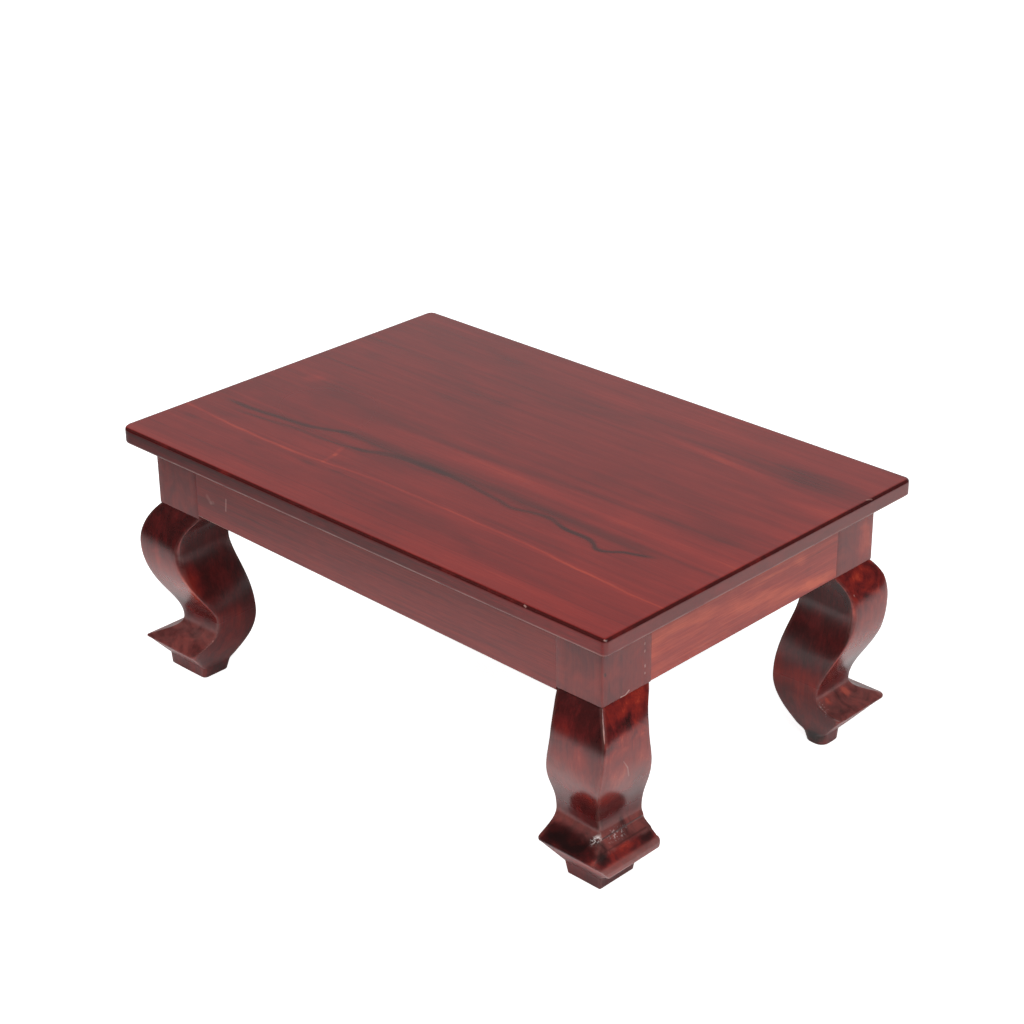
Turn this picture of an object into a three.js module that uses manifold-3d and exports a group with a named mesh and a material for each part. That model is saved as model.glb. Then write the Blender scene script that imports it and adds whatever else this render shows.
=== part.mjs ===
// A bajot: a low wooden stool or prayer table, 18 in by 12 in, on four S-curved legs.
// The top is three edge-glued boards. Four aprons are tenoned into the leg posts. A notched
// block in each corner is screwed to two aprons and up into the top.
// Millimetres, +Z up. The origin is on the floor under the middle of the top, +X runs along
// its length and the front is at -Y.

import * as THREE from "three";
import { mergeVertices } from "three/addons/utils/BufferGeometryUtils.js";
import Module from "manifold-3d";

const wasm = await Module();
wasm.setup();

// Top
const TOP_LENGTH = 457;
const TOP_WIDTH = 305;
const TOP_HEIGHT = 196;
const TOP_THICKNESS = 11.4;
const FRONT_STRIP_WIDTH = 22.5;
const REAR_BOARD_WIDTH = 67;
const PLAN_CORNER_RADIUS = 5;
const UPPER_ARRIS = 2;
const LOWER_ARRIS = 0.9;

// Frame under the top
const OVERHANG = 16.8;
const APRON_DEPTH = 48;
const APRON_THICKNESS = 19;
const APRON_ARRIS = 1.2;
// The front apron was planed out of square: deeper at its right end by this much in all.
const FRONT_APRON_TAPER = 4.8;

// Mortise and tenon. The two mortises of a post stop short of each other by a wall of wood.
const TENON_THICKNESS = 8;
const TENON_SETBACK = 6.5;
const TENON_TOP_HAUNCH = 8;
const TENON_LOWER_SHOULDER = 7;
const TENON_FIT = 0.3;
const MORTISE_END_ROOM = 1;
const MORTISE_WALL = 4;

// Leg, as distances outwards or inwards from the outer face of its post, and heights off the floor
const LEG_TOP_INSET = 1;
const ANKLE_HEIGHT = 45;
const CROOK_DEPTH = 33.7;
const CROOK_HEIGHT = 111;
const HEEL_DEPTH = 45.2;
const HEEL_HEIGHT = 49;
const PAD_HEIGHT = 9;
const PAD_SPLAY = 0.6;
const PAD_HEEL_SLOPE = 2;
const TOE_END_RADIUS = 4.5;

// How full the curves of the outline are. hold is the share of a curve's height for which it keeps
// its direction at its start and at its end, and lean is the share of its width that it crosses
// there. Where it doesn't lean it is upright.
const TOE_TO_ANKLE = { hold: [0.25, 0.6], lean: [0.39, 0] };
const ANKLE_TO_KNEE = { hold: [0.3, 0.56], lean: [0, 0] };
const KNEE_TO_POST = { hold: [0.42, 0.23], lean: [0, 0.54] };
const POST_TO_CROOK = { hold: [0.3, 0.6], lean: [0.5, 0] };
const CROOK_TO_HEEL = { hold: [0.2, 0.43], lean: [0, 0] };
const HEEL_TO_PAD = { hold: [0.48, 0.13], lean: [0, 0.1] };

// The outline that every leg was marked out from. post is the width of the square part at the top.
// knee and toeProud are how far knee and toe stand out, and ankle is how far the ankle stands back.
// toeHeight and toeEdge are the height and the thickness of the toe's edge, and padOuter and
// padInner are the edges of the pad on the floor.
const OUTLINE = {
  post: 43,
  knee: 10.8,
  kneeHeight: 106,
  ankle: 7.2,
  toeProud: 12.8,
  toeHeight: 29.8,
  toeEdge: 2.2,
  padOuter: -5,
  padInner: -33,
};

// Each leg was sawn by eye from two sides, through its blank along Y and then along X, so its two
// outlines depart a little from the common one and from each other. right and rear are the signs of
// its corner's X and Y, and toeCorner is the radius that the tip of its toe is worn to.
const LEGS = {
  left_front: {
    right: -1,
    rear: -1,
    toeCorner: 1.5,
    throughY: { ...OUTLINE, post: 43.5, knee: 11.8, padOuter: 11, padInner: -28.5 },
    throughX: { ...OUTLINE, post: 43.5, knee: 11.8, padOuter: -5, padInner: -28.5 },
  },
  right_front: {
    right: 1,
    rear: -1,
    toeCorner: 2,
    throughY: {
      ...OUTLINE, post: 38, knee: 9.3, kneeHeight: 108, ankle: 5.6,
      toeHeight: 29.2, toeEdge: 8, padInner: -33.5,
    },
    throughX: { ...OUTLINE, post: 44.5, toeHeight: 31.8, padInner: -37.5 },
  },
  right_rear: {
    right: 1,
    rear: 1,
    toeCorner: 6,
    throughY: {
      ...OUTLINE, post: 43.5, knee: 10.2, kneeHeight: 108,
      toeProud: 11.6, toeHeight: 31.5, padOuter: -6.5, padInner: -24,
    },
    throughX: {
      ...OUTLINE, post: 40, knee: 10.2, kneeHeight: 108,
      toeProud: 11.6, toeHeight: 31.5, padOuter: -13, padInner: -34,
    },
  },
  left_rear: {
    right: -1,
    rear: 1,
    toeCorner: 3,
    throughY: { ...OUTLINE },
    throughX: { ...OUTLINE, post: 42 },
  },
};

// Corner block
const BLOCK_REACH = 48;
const BLOCK_HEIGHT = 26;
const BLOCK_NOTCH_ROOM = 0.4;

// Screws, countersunk and slotted
const SCREW_HEAD = 8;
const SCREW_SHANK = 4;
const SCREW_HEAD_HEIGHT = 2.8;
const SCREW_HEAD_RIM = 0.4;
const SCREW_POINT = 4;
const SCREW_SLOT_WIDTH = 1;
const SCREW_SLOT_DEPTH = 1.1;
const SCREW_FIT = 0.3;
const APRON_SCREW_LENGTH = 25;
const APRON_SCREW_BESIDE_POST = 14;
const APRON_SCREW_COVER = 8;
const TOP_SCREW_FROM_BLOCK_TIP = 17;
const TOP_SCREW_BESIDE_APRON = 9;
const TOP_SCREW_COVER = 4.4;
const TOP_SCREW_SINK = 4;

// Fineness of the curves
const CURVE_STEPS = 9;
const CORNER_STEPS = 4;
const ARRIS_STEPS = 3;
const ROUND_SIDES = 16;

const topUnderside = TOP_HEIGHT - TOP_THICKNESS;
const apronBottom = topUnderside - APRON_DEPTH;
const frameHalfX = TOP_LENGTH / 2 - OVERHANG;
const frameHalfY = TOP_WIDTH / 2 - OVERHANG;
const apronInnerX = frameHalfX - APRON_THICKNESS;
const apronInnerY = frameHalfY - APRON_THICKNESS;
// A cutter goes past the face that it opens by this much, and points this close are one point.
const PAST = 1;
const SAME_POINT = 1e-4;

// Finishes
const polishedWood = { color: 0x5a2420, roughness: 0.28, metalness: 0 };
const bareWood = { color: 0x8a5a3c, roughness: 0.75, metalness: 0 };
const plainSteel = { color: 0x9a9a98, roughness: 0.4, metalness: 0.9 };

// A three.js geometry becomes a solid that can be cut and joined
function solid(geometry) {
  geometry.deleteAttribute("normal");
  geometry.deleteAttribute("uv");
  const merged = mergeVertices(geometry, SAME_POINT);
  const vertProperties = new Float32Array(merged.attributes.position.array);
  const triVerts = new Uint32Array(merged.index.array);
  return new wasm.Manifold(new wasm.Mesh({ numProp: 3, vertProperties, triVerts }));
}

function node(name, body, finish) {
  const { vertProperties, triVerts } = body.getMesh();
  const geometry = new THREE.BufferGeometry();
  geometry.setAttribute("position", new THREE.BufferAttribute(vertProperties, 3));
  geometry.setIndex(new THREE.BufferAttribute(triVerts, 1));
  geometry.computeVertexNormals();
  const mesh = new THREE.Mesh(geometry, new THREE.MeshStandardMaterial(finish));
  mesh.name = name;
  return mesh;
}

function box([x0, y0, z0], [x1, y1, z1]) {
  const shape = new THREE.BoxGeometry(x1 - x0, y1 - y0, z1 - z0);
  return solid(shape.translate((x0 + x1) / 2, (y0 + y1) / 2, (z0 + z1) / 2));
}

// A flat shape becomes a bar along one axis, from one place to another. The shape is drawn in the
// two axes that it crosses.
function alongZ(shape, from, to) {
  const bar = new THREE.ExtrudeGeometry(shape, {
    depth: to - from, bevelEnabled: false, curveSegments: CURVE_STEPS,
  });
  return bar.translate(0, 0, from);
}

function alongX(shape, from, to) {
  return alongZ(shape, from, to).rotateZ(Math.PI / 2).rotateY(Math.PI / 2);
}

function alongY(shape, from, to) {
  return alongZ(shape, -to, -from).rotateX(Math.PI / 2);
}

// A piece made for the corner at +X +Y is placed at another corner by mirroring. Its points turn
// round in order where one mirroring alone would turn the faces inwards.
function atCorner(body, { right, rear }) {
  const { vertProperties, triVerts } = body.getMesh();
  const vertices = vertProperties.map((value, i) => value * [right, rear, 1][i % 3]);
  const triangles = right * rear > 0 ? triVerts : triVerts.toReversed();
  return new wasm.Manifold(
    new wasm.Mesh({ numProp: 3, vertProperties: vertices, triVerts: triangles }),
  );
}

// The slab that the three boards are cut from, with its upper and lower arrises rubbed round
function topSlab() {
  const x = TOP_LENGTH / 2;
  const y = TOP_WIDTH / 2;
  const r = PLAN_CORNER_RADIUS;
  const plan = new THREE.Shape();
  plan.moveTo(r - x, -y);
  plan.lineTo(x - r, -y);
  plan.absarc(x - r, r - y, r, -Math.PI / 2, 0);
  plan.lineTo(x, y - r);
  plan.absarc(x - r, y - r, r, 0, Math.PI / 2);
  plan.lineTo(r - x, y);
  plan.absarc(r - x, y - r, r, Math.PI / 2, Math.PI);
  plan.lineTo(-x, r - y);
  plan.absarc(r - x, r - y, r, Math.PI, Math.PI * 1.5);
  const slab = (arris, from, to) => {
    const geometry = new THREE.ExtrudeGeometry(plan, {
      depth: to - from - 2 * arris,
      bevelThickness: arris, bevelSize: arris, bevelOffset: -arris,
      bevelSegments: ARRIS_STEPS, curveSegments: CORNER_STEPS,
    });
    return solid(geometry.translate(0, 0, from + arris));
  };
  const fromAbove = slab(UPPER_ARRIS, topUnderside - TOP_THICKNESS, TOP_HEIGHT);
  const fromBelow = slab(LOWER_ARRIS, topUnderside, TOP_HEIGHT + TOP_THICKNESS);
  return fromAbove.intersect(fromBelow);
}

// The board between two places along Y
function topBoard(slab, from, to) {
  return slab.intersect(box(
    [-TOP_LENGTH, from, topUnderside - PAST],
    [TOP_LENGTH, to, TOP_HEIGHT + PAST],
  ));
}

// An apron seen end on, its lower arrises rubbed round
function apronSection(outerFace, bottom, top = topUnderside) {
  const inner = outerFace - APRON_THICKNESS;
  const r = APRON_ARRIS;
  const section = new THREE.Shape();
  section.moveTo(inner, top);
  section.lineTo(inner, bottom + r);
  section.absarc(inner + r, bottom + r, r, Math.PI, Math.PI * 1.5);
  section.lineTo(outerFace - r, bottom);
  section.absarc(outerFace - r, bottom + r, r, -Math.PI / 2, 0);
  section.lineTo(outerFace, top);
  return section;
}

// How far a tenon goes into a post
function tenonLength(post) {
  return post - TENON_SETBACK - TENON_THICKNESS - MORTISE_WALL - MORTISE_END_ROOM;
}

// Where a tenon or a mortise lies across the apron and up it. A mortise has room all round.
function tenonSection(outerFace, room) {
  return {
    across: [outerFace - TENON_SETBACK - TENON_THICKNESS - room, outerFace - TENON_SETBACK + room],
    up: [apronBottom + TENON_LOWER_SHOULDER - room, topUnderside - TENON_TOP_HAUNCH + room],
  };
}

// The two tenons of an apron along X at +Y, as one bar that the apron is joined to
function longTenons(fromPost, toPost) {
  const { across, up } = tenonSection(frameHalfY, 0);
  return box(
    [fromPost - frameHalfX - tenonLength(fromPost), across[0], up[0]],
    [frameHalfX - toPost + tenonLength(toPost), across[1], up[1]],
  );
}

// An apron along X at +Y, between two posts of these widths
function longApron(fromPost, toPost) {
  const section = apronSection(frameHalfY, apronBottom);
  const board = solid(alongX(section, fromPost - frameHalfX, frameHalfX - toPost));
  return board.add(longTenons(fromPost, toPost));
}

// The front apron: the same board with its lower edge at a slant, lower at -X, and made at +Y
function slantedApron(fromPost, toPost) {
  const from = fromPost - frameHalfX;
  const to = frameHalfX - toPost;
  const slant = Math.atan(FRONT_APRON_TAPER / (to - from));
  const spare = FRONT_APRON_TAPER + APRON_DEPTH;
  const section = apronSection(frameHalfY, -APRON_DEPTH, spare);
  const slanted = alongX(section, from - spare, to + spare).rotateY(-slant);
  const ends = box([from, 0, 0], [to, frameHalfY, topUnderside]);
  return solid(slanted.translate(0, 0, topUnderside))
    .intersect(ends)
    .add(longTenons(fromPost, toPost));
}

// An apron along Y at +X, between two posts of these widths
function shortApron(fromPost, toPost) {
  const from = fromPost - frameHalfY;
  const to = frameHalfY - toPost;
  const { across, up } = tenonSection(frameHalfX, 0);
  const tenons = box(
    [across[0], from - tenonLength(fromPost), up[0]],
    [across[1], to + tenonLength(toPost), up[1]],
  );
  return solid(alongY(apronSection(frameHalfX, apronBottom), from, to)).add(tenons);
}

// One curve of an outline, from the place that the outline has come to
function curveTo(outline, [x, z], { hold, lean }) {
  const { x: startX, y: startZ } = outline.currentPoint;
  const across = x - startX;
  const up = z - startZ;
  outline.bezierCurveTo(
    startX + lean[0] * across, startZ + hold[0] * up,
    x - lean[1] * across, z - hold[1] * up,
    x, z,
  );
}

// One sawn outline of a leg, from the floor up: pad, toe, ankle and knee on the outer side, then
// down the inner side through the crook and the heel. face is the post's outer face.
function legOutline(face, sizes) {
  const { post, knee, kneeHeight, ankle, toeProud, toeHeight, toeEdge, padOuter, padInner } = sizes;
  const noseRadius = toeEdge / 2;
  const noseX = face + toeProud - noseRadius;
  const outline = new THREE.Shape();
  outline.moveTo(face + padInner, 0);
  outline.lineTo(face + padOuter - PAD_SPLAY, 0);
  outline.lineTo(face + padOuter, PAD_HEIGHT);
  outline.lineTo(noseX, toeHeight - toeEdge);
  outline.absarc(noseX, toeHeight - noseRadius, noseRadius, -Math.PI / 2, Math.PI / 2);
  curveTo(outline, [face - ankle, ANKLE_HEIGHT], TOE_TO_ANKLE);
  curveTo(outline, [face + knee, kneeHeight], ANKLE_TO_KNEE);
  curveTo(outline, [face - LEG_TOP_INSET, apronBottom], KNEE_TO_POST);
  outline.lineTo(face, apronBottom);
  outline.lineTo(face, topUnderside);
  outline.lineTo(face - post, topUnderside);
  outline.lineTo(face - post, apronBottom);
  curveTo(outline, [face - CROOK_DEPTH, CROOK_HEIGHT], POST_TO_CROOK);
  curveTo(outline, [face - HEEL_DEPTH, HEEL_HEIGHT], CROOK_TO_HEEL);
  curveTo(outline, [face + padInner - PAD_HEEL_SLOPE, PAD_HEIGHT], HEEL_TO_PAD);
  outline.closePath();
  return outline;
}

// The leg's blank seen from above, its corners rounded where the toe reaches them
function toePlan({ throughY, throughX, toeCorner }) {
  const outerX = frameHalfX + throughY.toeProud;
  const outerY = frameHalfY + throughX.toeProud;
  const innerX = frameHalfX - Math.max(HEEL_DEPTH, throughY.post);
  const innerY = frameHalfY - Math.max(HEEL_DEPTH, throughX.post);
  const end = TOE_END_RADIUS;
  const plan = new THREE.Shape();
  plan.moveTo(innerX, innerY);
  plan.lineTo(outerX - end, innerY);
  plan.absarc(outerX - end, innerY + end, end, -Math.PI / 2, 0);
  plan.lineTo(outerX, outerY - toeCorner);
  plan.absarc(outerX - toeCorner, outerY - toeCorner, toeCorner, 0, Math.PI / 2);
  plan.lineTo(innerX + end, outerY);
  plan.absarc(innerX + end, outerY - end, end, Math.PI / 2, Math.PI);
  plan.closePath();
  return plan;
}

// A leg for the corner at +X +Y: an S sawn through a square blank from two sides, and two mortises
// chopped in its post
function leg(corner) {
  const { throughY, throughX } = corner;
  const blank = alongZ(toePlan(corner), 0, topUnderside);
  const innerX = frameHalfX - throughY.post;
  const innerY = frameHalfY - throughX.post;
  const long = tenonSection(frameHalfY, TENON_FIT);
  const short = tenonSection(frameHalfX, TENON_FIT);
  const longMortise = box(
    [innerX - PAST, long.across[0], long.up[0]],
    [innerX + tenonLength(throughY.post) + MORTISE_END_ROOM, long.across[1], long.up[1]],
  );
  const shortMortise = box(
    [short.across[0], innerY - PAST, short.up[0]],
    [short.across[1], innerY + tenonLength(throughX.post) + MORTISE_END_ROOM, short.up[1]],
  );
  return solid(blank)
    .intersect(solid(alongY(legOutline(frameHalfX, throughY), 0, frameHalfY * 2)))
    .intersect(solid(alongX(legOutline(frameHalfY, throughX), 0, frameHalfX * 2)))
    .subtract(longMortise)
    .subtract(shortMortise);
}

// The three screws of the corner at +X +Y: how long each is, where its head is and how its axis is
// turned from pointing up
function screwsOf({ throughY, throughX }) {
  const postInnerX = frameHalfX - throughY.post;
  const postInnerY = frameHalfY - throughX.post;
  const halfBlock = topUnderside - BLOCK_HEIGHT / 2;
  const headBack = APRON_SCREW_LENGTH - APRON_THICKNESS + APRON_SCREW_COVER;
  const topScrewHead = topUnderside - BLOCK_HEIGHT + TOP_SCREW_SINK;
  return {
    long_apron: {
      length: APRON_SCREW_LENGTH,
      turn: [-Math.PI / 2, 0],
      place: [postInnerX - APRON_SCREW_BESIDE_POST, apronInnerY - headBack, halfBlock],
    },
    short_apron: {
      length: APRON_SCREW_LENGTH,
      turn: [0, Math.PI / 2],
      place: [apronInnerX - headBack, postInnerY - APRON_SCREW_BESIDE_POST, halfBlock],
    },
    top: {
      length: TOP_HEIGHT - TOP_SCREW_COVER - topScrewHead,
      turn: [0, 0],
      place: [
        postInnerX - BLOCK_REACH + TOP_SCREW_FROM_BLOCK_TIP,
        apronInnerY - TOP_SCREW_BESIDE_APRON,
        topScrewHead,
      ],
    },
  };
}

// A geometry that points up from its place becomes the solid where the screw goes
function placed(geometry, { turn, place }) {
  return solid(geometry.rotateX(turn[0]).rotateY(turn[1]).translate(...place));
}

// A round shape about its own axis, from a list of its radii and heights
function turned(profile) {
  const points = profile.map(([radius, height]) => new THREE.Vector2(radius, height));
  return new THREE.LatheGeometry(points, ROUND_SIDES).rotateX(Math.PI / 2);
}

function screw(where) {
  const shank = SCREW_SHANK / 2;
  const body = turned([
    [0, 0],
    [SCREW_HEAD / 2, 0],
    [SCREW_HEAD / 2, SCREW_HEAD_RIM],
    [shank, SCREW_HEAD_HEIGHT],
    [shank, where.length - SCREW_POINT],
    [0, where.length],
  ]);
  const slot = new THREE.BoxGeometry(SCREW_HEAD * 2, SCREW_SLOT_WIDTH, SCREW_SLOT_DEPTH * 2);
  return placed(body, where).subtract(placed(slot, where));
}

// The hole for a screw: a counterbore down to its head, then the screw's own shape with its fit
function screwHole(where) {
  const shank = SCREW_SHANK / 2 + SCREW_FIT;
  const head = SCREW_HEAD / 2 + SCREW_FIT;
  return placed(turned([
    [0, -BLOCK_REACH],
    [head, -BLOCK_REACH],
    [head, SCREW_HEAD_RIM + SCREW_FIT],
    [shank, SCREW_HEAD_HEIGHT + SCREW_FIT],
    [shank, where.length - SCREW_POINT + SCREW_FIT],
    [0, where.length + SCREW_FIT * 2],
  ]), where);
}

function holesOf(corner) {
  return Object.values(screwsOf(corner)).map(screwHole);
}

// A block for the corner at +X +Y, notched round the post and lying against both aprons and the top
function cornerBlock(corner) {
  const innerX = frameHalfX - corner.throughY.post;
  const innerY = frameHalfY - corner.throughX.post;
  const plan = new THREE.Shape();
  plan.moveTo(apronInnerX, innerY - BLOCK_NOTCH_ROOM);
  plan.lineTo(innerX - BLOCK_NOTCH_ROOM, innerY - BLOCK_NOTCH_ROOM);
  plan.lineTo(innerX - BLOCK_NOTCH_ROOM, apronInnerY);
  plan.lineTo(innerX - BLOCK_REACH, apronInnerY);
  plan.lineTo(apronInnerX, innerY - BLOCK_REACH);
  plan.closePath();
  const block = solid(alongZ(plan, topUnderside - BLOCK_HEIGHT, topUnderside));
  return holesOf(corner).reduce((drilled, hole) => drilled.subtract(hole), block);
}

// Assembly
const bajot = new THREE.Group();
bajot.name = "bajot";

const corners = Object.entries(LEGS);
const frontEdge = -TOP_WIDTH / 2;
const rearEdge = TOP_WIDTH / 2;
const frontJoint = frontEdge + FRONT_STRIP_WIDTH;
const rearJoint = rearEdge - REAR_BOARD_WIDTH;
const boards = {
  top_front_strip: [frontEdge, frontJoint],
  top_middle_board: [frontJoint, rearJoint],
  top_rear_board: [rearJoint, rearEdge],
};
const slab = topSlab();
const allHoles = corners.flatMap(
  ([, corner]) => holesOf(corner).map((hole) => atCorner(hole, corner)),
);
const drill = (body) => allHoles.reduce((drilled, hole) => drilled.subtract(hole), body);

for (const [name, [from, to]] of Object.entries(boards)) {
  bajot.add(node(name, drill(topBoard(slab, from, to)), polishedWood));
}

// Each apron is made at +X or +Y. Mirrored to the front or to the left it fits between the posts there.
const { left_front, right_front, right_rear, left_rear } = LEGS;
const aprons = {
  rear_apron: longApron(left_rear.throughY.post, right_rear.throughY.post),
  front_apron: atCorner(
    slantedApron(right_front.throughY.post, left_front.throughY.post),
    { right: -1, rear: -1 },
  ),
  right_apron: shortApron(right_front.throughX.post, right_rear.throughX.post),
  left_apron: atCorner(
    shortApron(left_front.throughX.post, left_rear.throughX.post),
    { right: -1, rear: 1 },
  ),
};
for (const [name, apron] of Object.entries(aprons)) {
  bajot.add(node(name, drill(apron), polishedWood));
}

for (const [place, corner] of corners) {
  bajot.add(node(place + "_leg", atCorner(leg(corner), corner), polishedWood));
  bajot.add(node(place + "_corner_block", atCorner(cornerBlock(corner), corner), bareWood));
  for (const [into, where] of Object.entries(screwsOf(corner))) {
    bajot.add(node(`${place}_screw_into_${into}`, atCorner(screw(where), corner), plainSteel));
  }
}

export default bajot;
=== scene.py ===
import math

import bmesh
import bpy
import numpy as np
from mathutils import Matrix, Vector


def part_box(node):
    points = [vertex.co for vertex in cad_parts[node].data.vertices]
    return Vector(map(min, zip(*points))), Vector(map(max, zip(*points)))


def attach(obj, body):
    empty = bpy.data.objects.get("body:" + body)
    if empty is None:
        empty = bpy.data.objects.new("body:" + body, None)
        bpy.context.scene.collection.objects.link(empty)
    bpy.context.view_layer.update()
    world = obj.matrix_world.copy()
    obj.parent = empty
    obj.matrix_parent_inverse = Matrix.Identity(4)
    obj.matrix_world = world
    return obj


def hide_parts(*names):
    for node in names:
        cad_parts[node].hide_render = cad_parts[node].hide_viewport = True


# A bajot, a low prayer table on four cabriole legs, in dark red polish. Metres, +Z up, front at -Y.

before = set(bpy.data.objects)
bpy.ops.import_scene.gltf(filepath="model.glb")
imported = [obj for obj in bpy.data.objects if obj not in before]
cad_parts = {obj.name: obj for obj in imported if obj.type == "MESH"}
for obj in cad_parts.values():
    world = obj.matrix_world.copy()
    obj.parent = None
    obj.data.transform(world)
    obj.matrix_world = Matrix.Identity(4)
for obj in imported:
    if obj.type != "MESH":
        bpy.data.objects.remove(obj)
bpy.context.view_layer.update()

MM = 0.001

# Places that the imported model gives
top_low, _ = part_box("top_front_strip")
_, top_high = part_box("top_rear_board")
front_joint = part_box("top_front_strip")[1].y
rear_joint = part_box("top_rear_board")[0].y
frame_half_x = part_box("right_apron")[1].x
frame_half_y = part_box("rear_apron")[1].y

# Where the posts of the legs start and end, in mm
POST_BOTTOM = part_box("right_apron")[0].z / MM
POST_TOP = top_low.z / MM

# Top: the radius of each corner of its plan, and of its rubbed arrises
TOP_CORNERS = {
    "right_rear": 5 * MM, "left_rear": 5.5 * MM, "left_front": 8.5 * MM, "right_front": 3.6 * MM,
}
UPPER_ARRIS = 2 * MM
LOWER_ARRIS = 0.9 * MM
FACE_INSET = 3.2 * MM
TOP_SPACING = 3 * MM

# Leg outlines in mm, as the model's source has them: distances from the post's face, and heights
ANKLE_HEIGHT = 45
CROOK = (33.7, 111)
HEEL = (45.2, 49)
PAD_HEIGHT = 9
PAD_SPLAY = 0.6
PAD_HEEL_SLOPE = 2
TOP_INSET = 1
TOE_TO_ANKLE = ((0.25, 0.6), (0.39, 0))
ANKLE_TO_KNEE = ((0.3, 0.56), (0, 0))
KNEE_TO_POST = ((0.42, 0.23), (0, 0.54))
POST_TO_CROOK = ((0.3, 0.6), (0.5, 0))
CROOK_TO_HEEL = ((0.2, 0.43), (0, 0))
HEEL_TO_PAD = ((0.48, 0.13), (0, 0.1))
OUTLINE = dict(
    post=43, knee=10.8, knee_height=106, ankle=7.2, toe_proud=12.8,
    toe_height=29.8, toe_edge=2.2, pad_outer=-5, pad_inner=-33,
)
# Lean is an arris of a leg that was carved off the square: which one, and by height how far it is
# moved in X and in Y. Ledges are steps left by the gouge above a toe: lowest, highest, and how far
# they stand out in X.
LEGS = {
    "left_front": dict(
        side=(-1, -1), toe_corner=1.5, toe_end=4.5, pad_corner=3,
        lean=((0, 1), [
            (38, 0, 0), (47, -0.7, -0.7), (56, -2, -2), (65, -1.7, -1.7), (74, -0.8, -0.8),
            (83, 0.6, 0.6), (92, 1.5, 1.5), (101, 1.7, 1.7), (112, 1.3, 1.3), (125, 0.5, 0.5),
            (134, 0, 0),
        ]),
        through_y=dict(OUTLINE, post=43.5, knee=11.8, pad_outer=11, pad_inner=-28.5),
        through_x=dict(OUTLINE, post=43.5, knee=11.8, pad_inner=-28.5),
    ),
    "right_front": dict(
        side=(1, -1), toe_corner=2, toe_end=2.5, ledges=[(32.4, 33.8, 1.3), (38.4, 39.6, 0.6)],
        lean=((1, 1), [
            (36, 0, 0), (49, -2, 2), (60, -1.6, 1.6), (70, -1.2, 1.2), (85, -0.4, 0.4),
            (96, 0.4, -0.4), (106, 1.2, -1.2), (117, 1.5, -1.5), (125, 0.8, -0.8), (134, 0, 0),
        ]),
        through_y=dict(
            OUTLINE, post=38, knee=9.3, knee_height=108, ankle=5.6,
            toe_height=29.2, toe_edge=8, pad_inner=-33.5,
        ),
        through_x=dict(OUTLINE, post=44.5, toe_height=31.8, pad_inner=-37.5),
    ),
    "right_rear": dict(
        side=(1, 1), toe_corner=6, toe_end=4.5, pad_corner=6,
        lean=((1, 0), [
            (40, 0, 0), (50, 0.5, 0.5), (58, 0.9, 0.9), (66, 0.9, 0.9), (74, 0.8, 0.8),
            (82, 1.4, 1.4), (90, 1.9, 1.9), (98, 1.9, 1.9), (106, 1.7, 1.7), (114, 1, 1),
            (122, 0.5, 0.5), (134, 0, 0),
        ]),
        through_y=dict(
            OUTLINE, post=43.5, knee=10.2, knee_height=108, toe_proud=11.6,
            toe_height=31.5, pad_outer=-6.5, pad_inner=-24,
        ),
        through_x=dict(
            OUTLINE, post=40, knee=10.2, knee_height=108, toe_proud=11.6,
            toe_height=31.5, pad_outer=-13, pad_inner=-34,
        ),
    ),
    "left_rear": dict(
        side=(-1, 1), toe_corner=3, toe_end=4.5,
        through_y=dict(OUTLINE),
        through_x=dict(OUTLINE, post=42),
    ),
}
LEG_ARRIS = 1.1
PAD_FOOT_BEVEL = 0.5
TENON_THICKNESS = 8
TENON_SETBACK = 6.5
TENON_TOP_HAUNCH = 8
TENON_LOWER_SHOULDER = 7
TENON_FIT = 0.3
MORTISE_WALL = 4
MORTISE_OVERRUN = 5
UNEVENNESS = 0.8
UNEVEN_WAVES_PER_METRE = 28.0
BLOCK_ARRIS = 0.4 * MM

# Screws, in mm
SCREW = {
    "Head Diameter": 8, "Head Height": 2.8, "Head Rim": 0.4, "Shank Diameter": 4, "Point Length": 4,
    "Thread Depth": 0.55, "Thread Pitch": 1.8, "Slot Width": 1, "Slot Depth": 1.1,
}
SCREW_SIDES = 20
SCREW_RINGS = 90

# Fineness, with the spacings in mm
CURVE_POINTS = 60
CORNER_POINTS = 6
SIDE_POINTS = 8
TOE_POINTS = 24
TOP_CORNER_POINTS = 9
LOWER_ARRIS_POINTS = 4
UPPER_ARRIS_POINTS = 7
LEVEL_SPACING = 1.5
LEDGE_LEVELS = 18
NOSE_LEVELS = 9
INSTEP_LEVELS = 12
LEAST_SPACING = 0.04
LEAN_STEP = 0.5
LEAN_SMOOTHING = 29

# Floor and light
FLOOR_REACH = 6
FLOOR_WHITE = 0.86
FLOOR_GLOW = 0.84
SOFT_LIGHT = 0.40
ROOM_GLOW = 0.04
SWEEP_GLOW = 0.73
SWEEP_DIRECTION = (-0.45, 0.89, 0.0)


# Node trees

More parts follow.
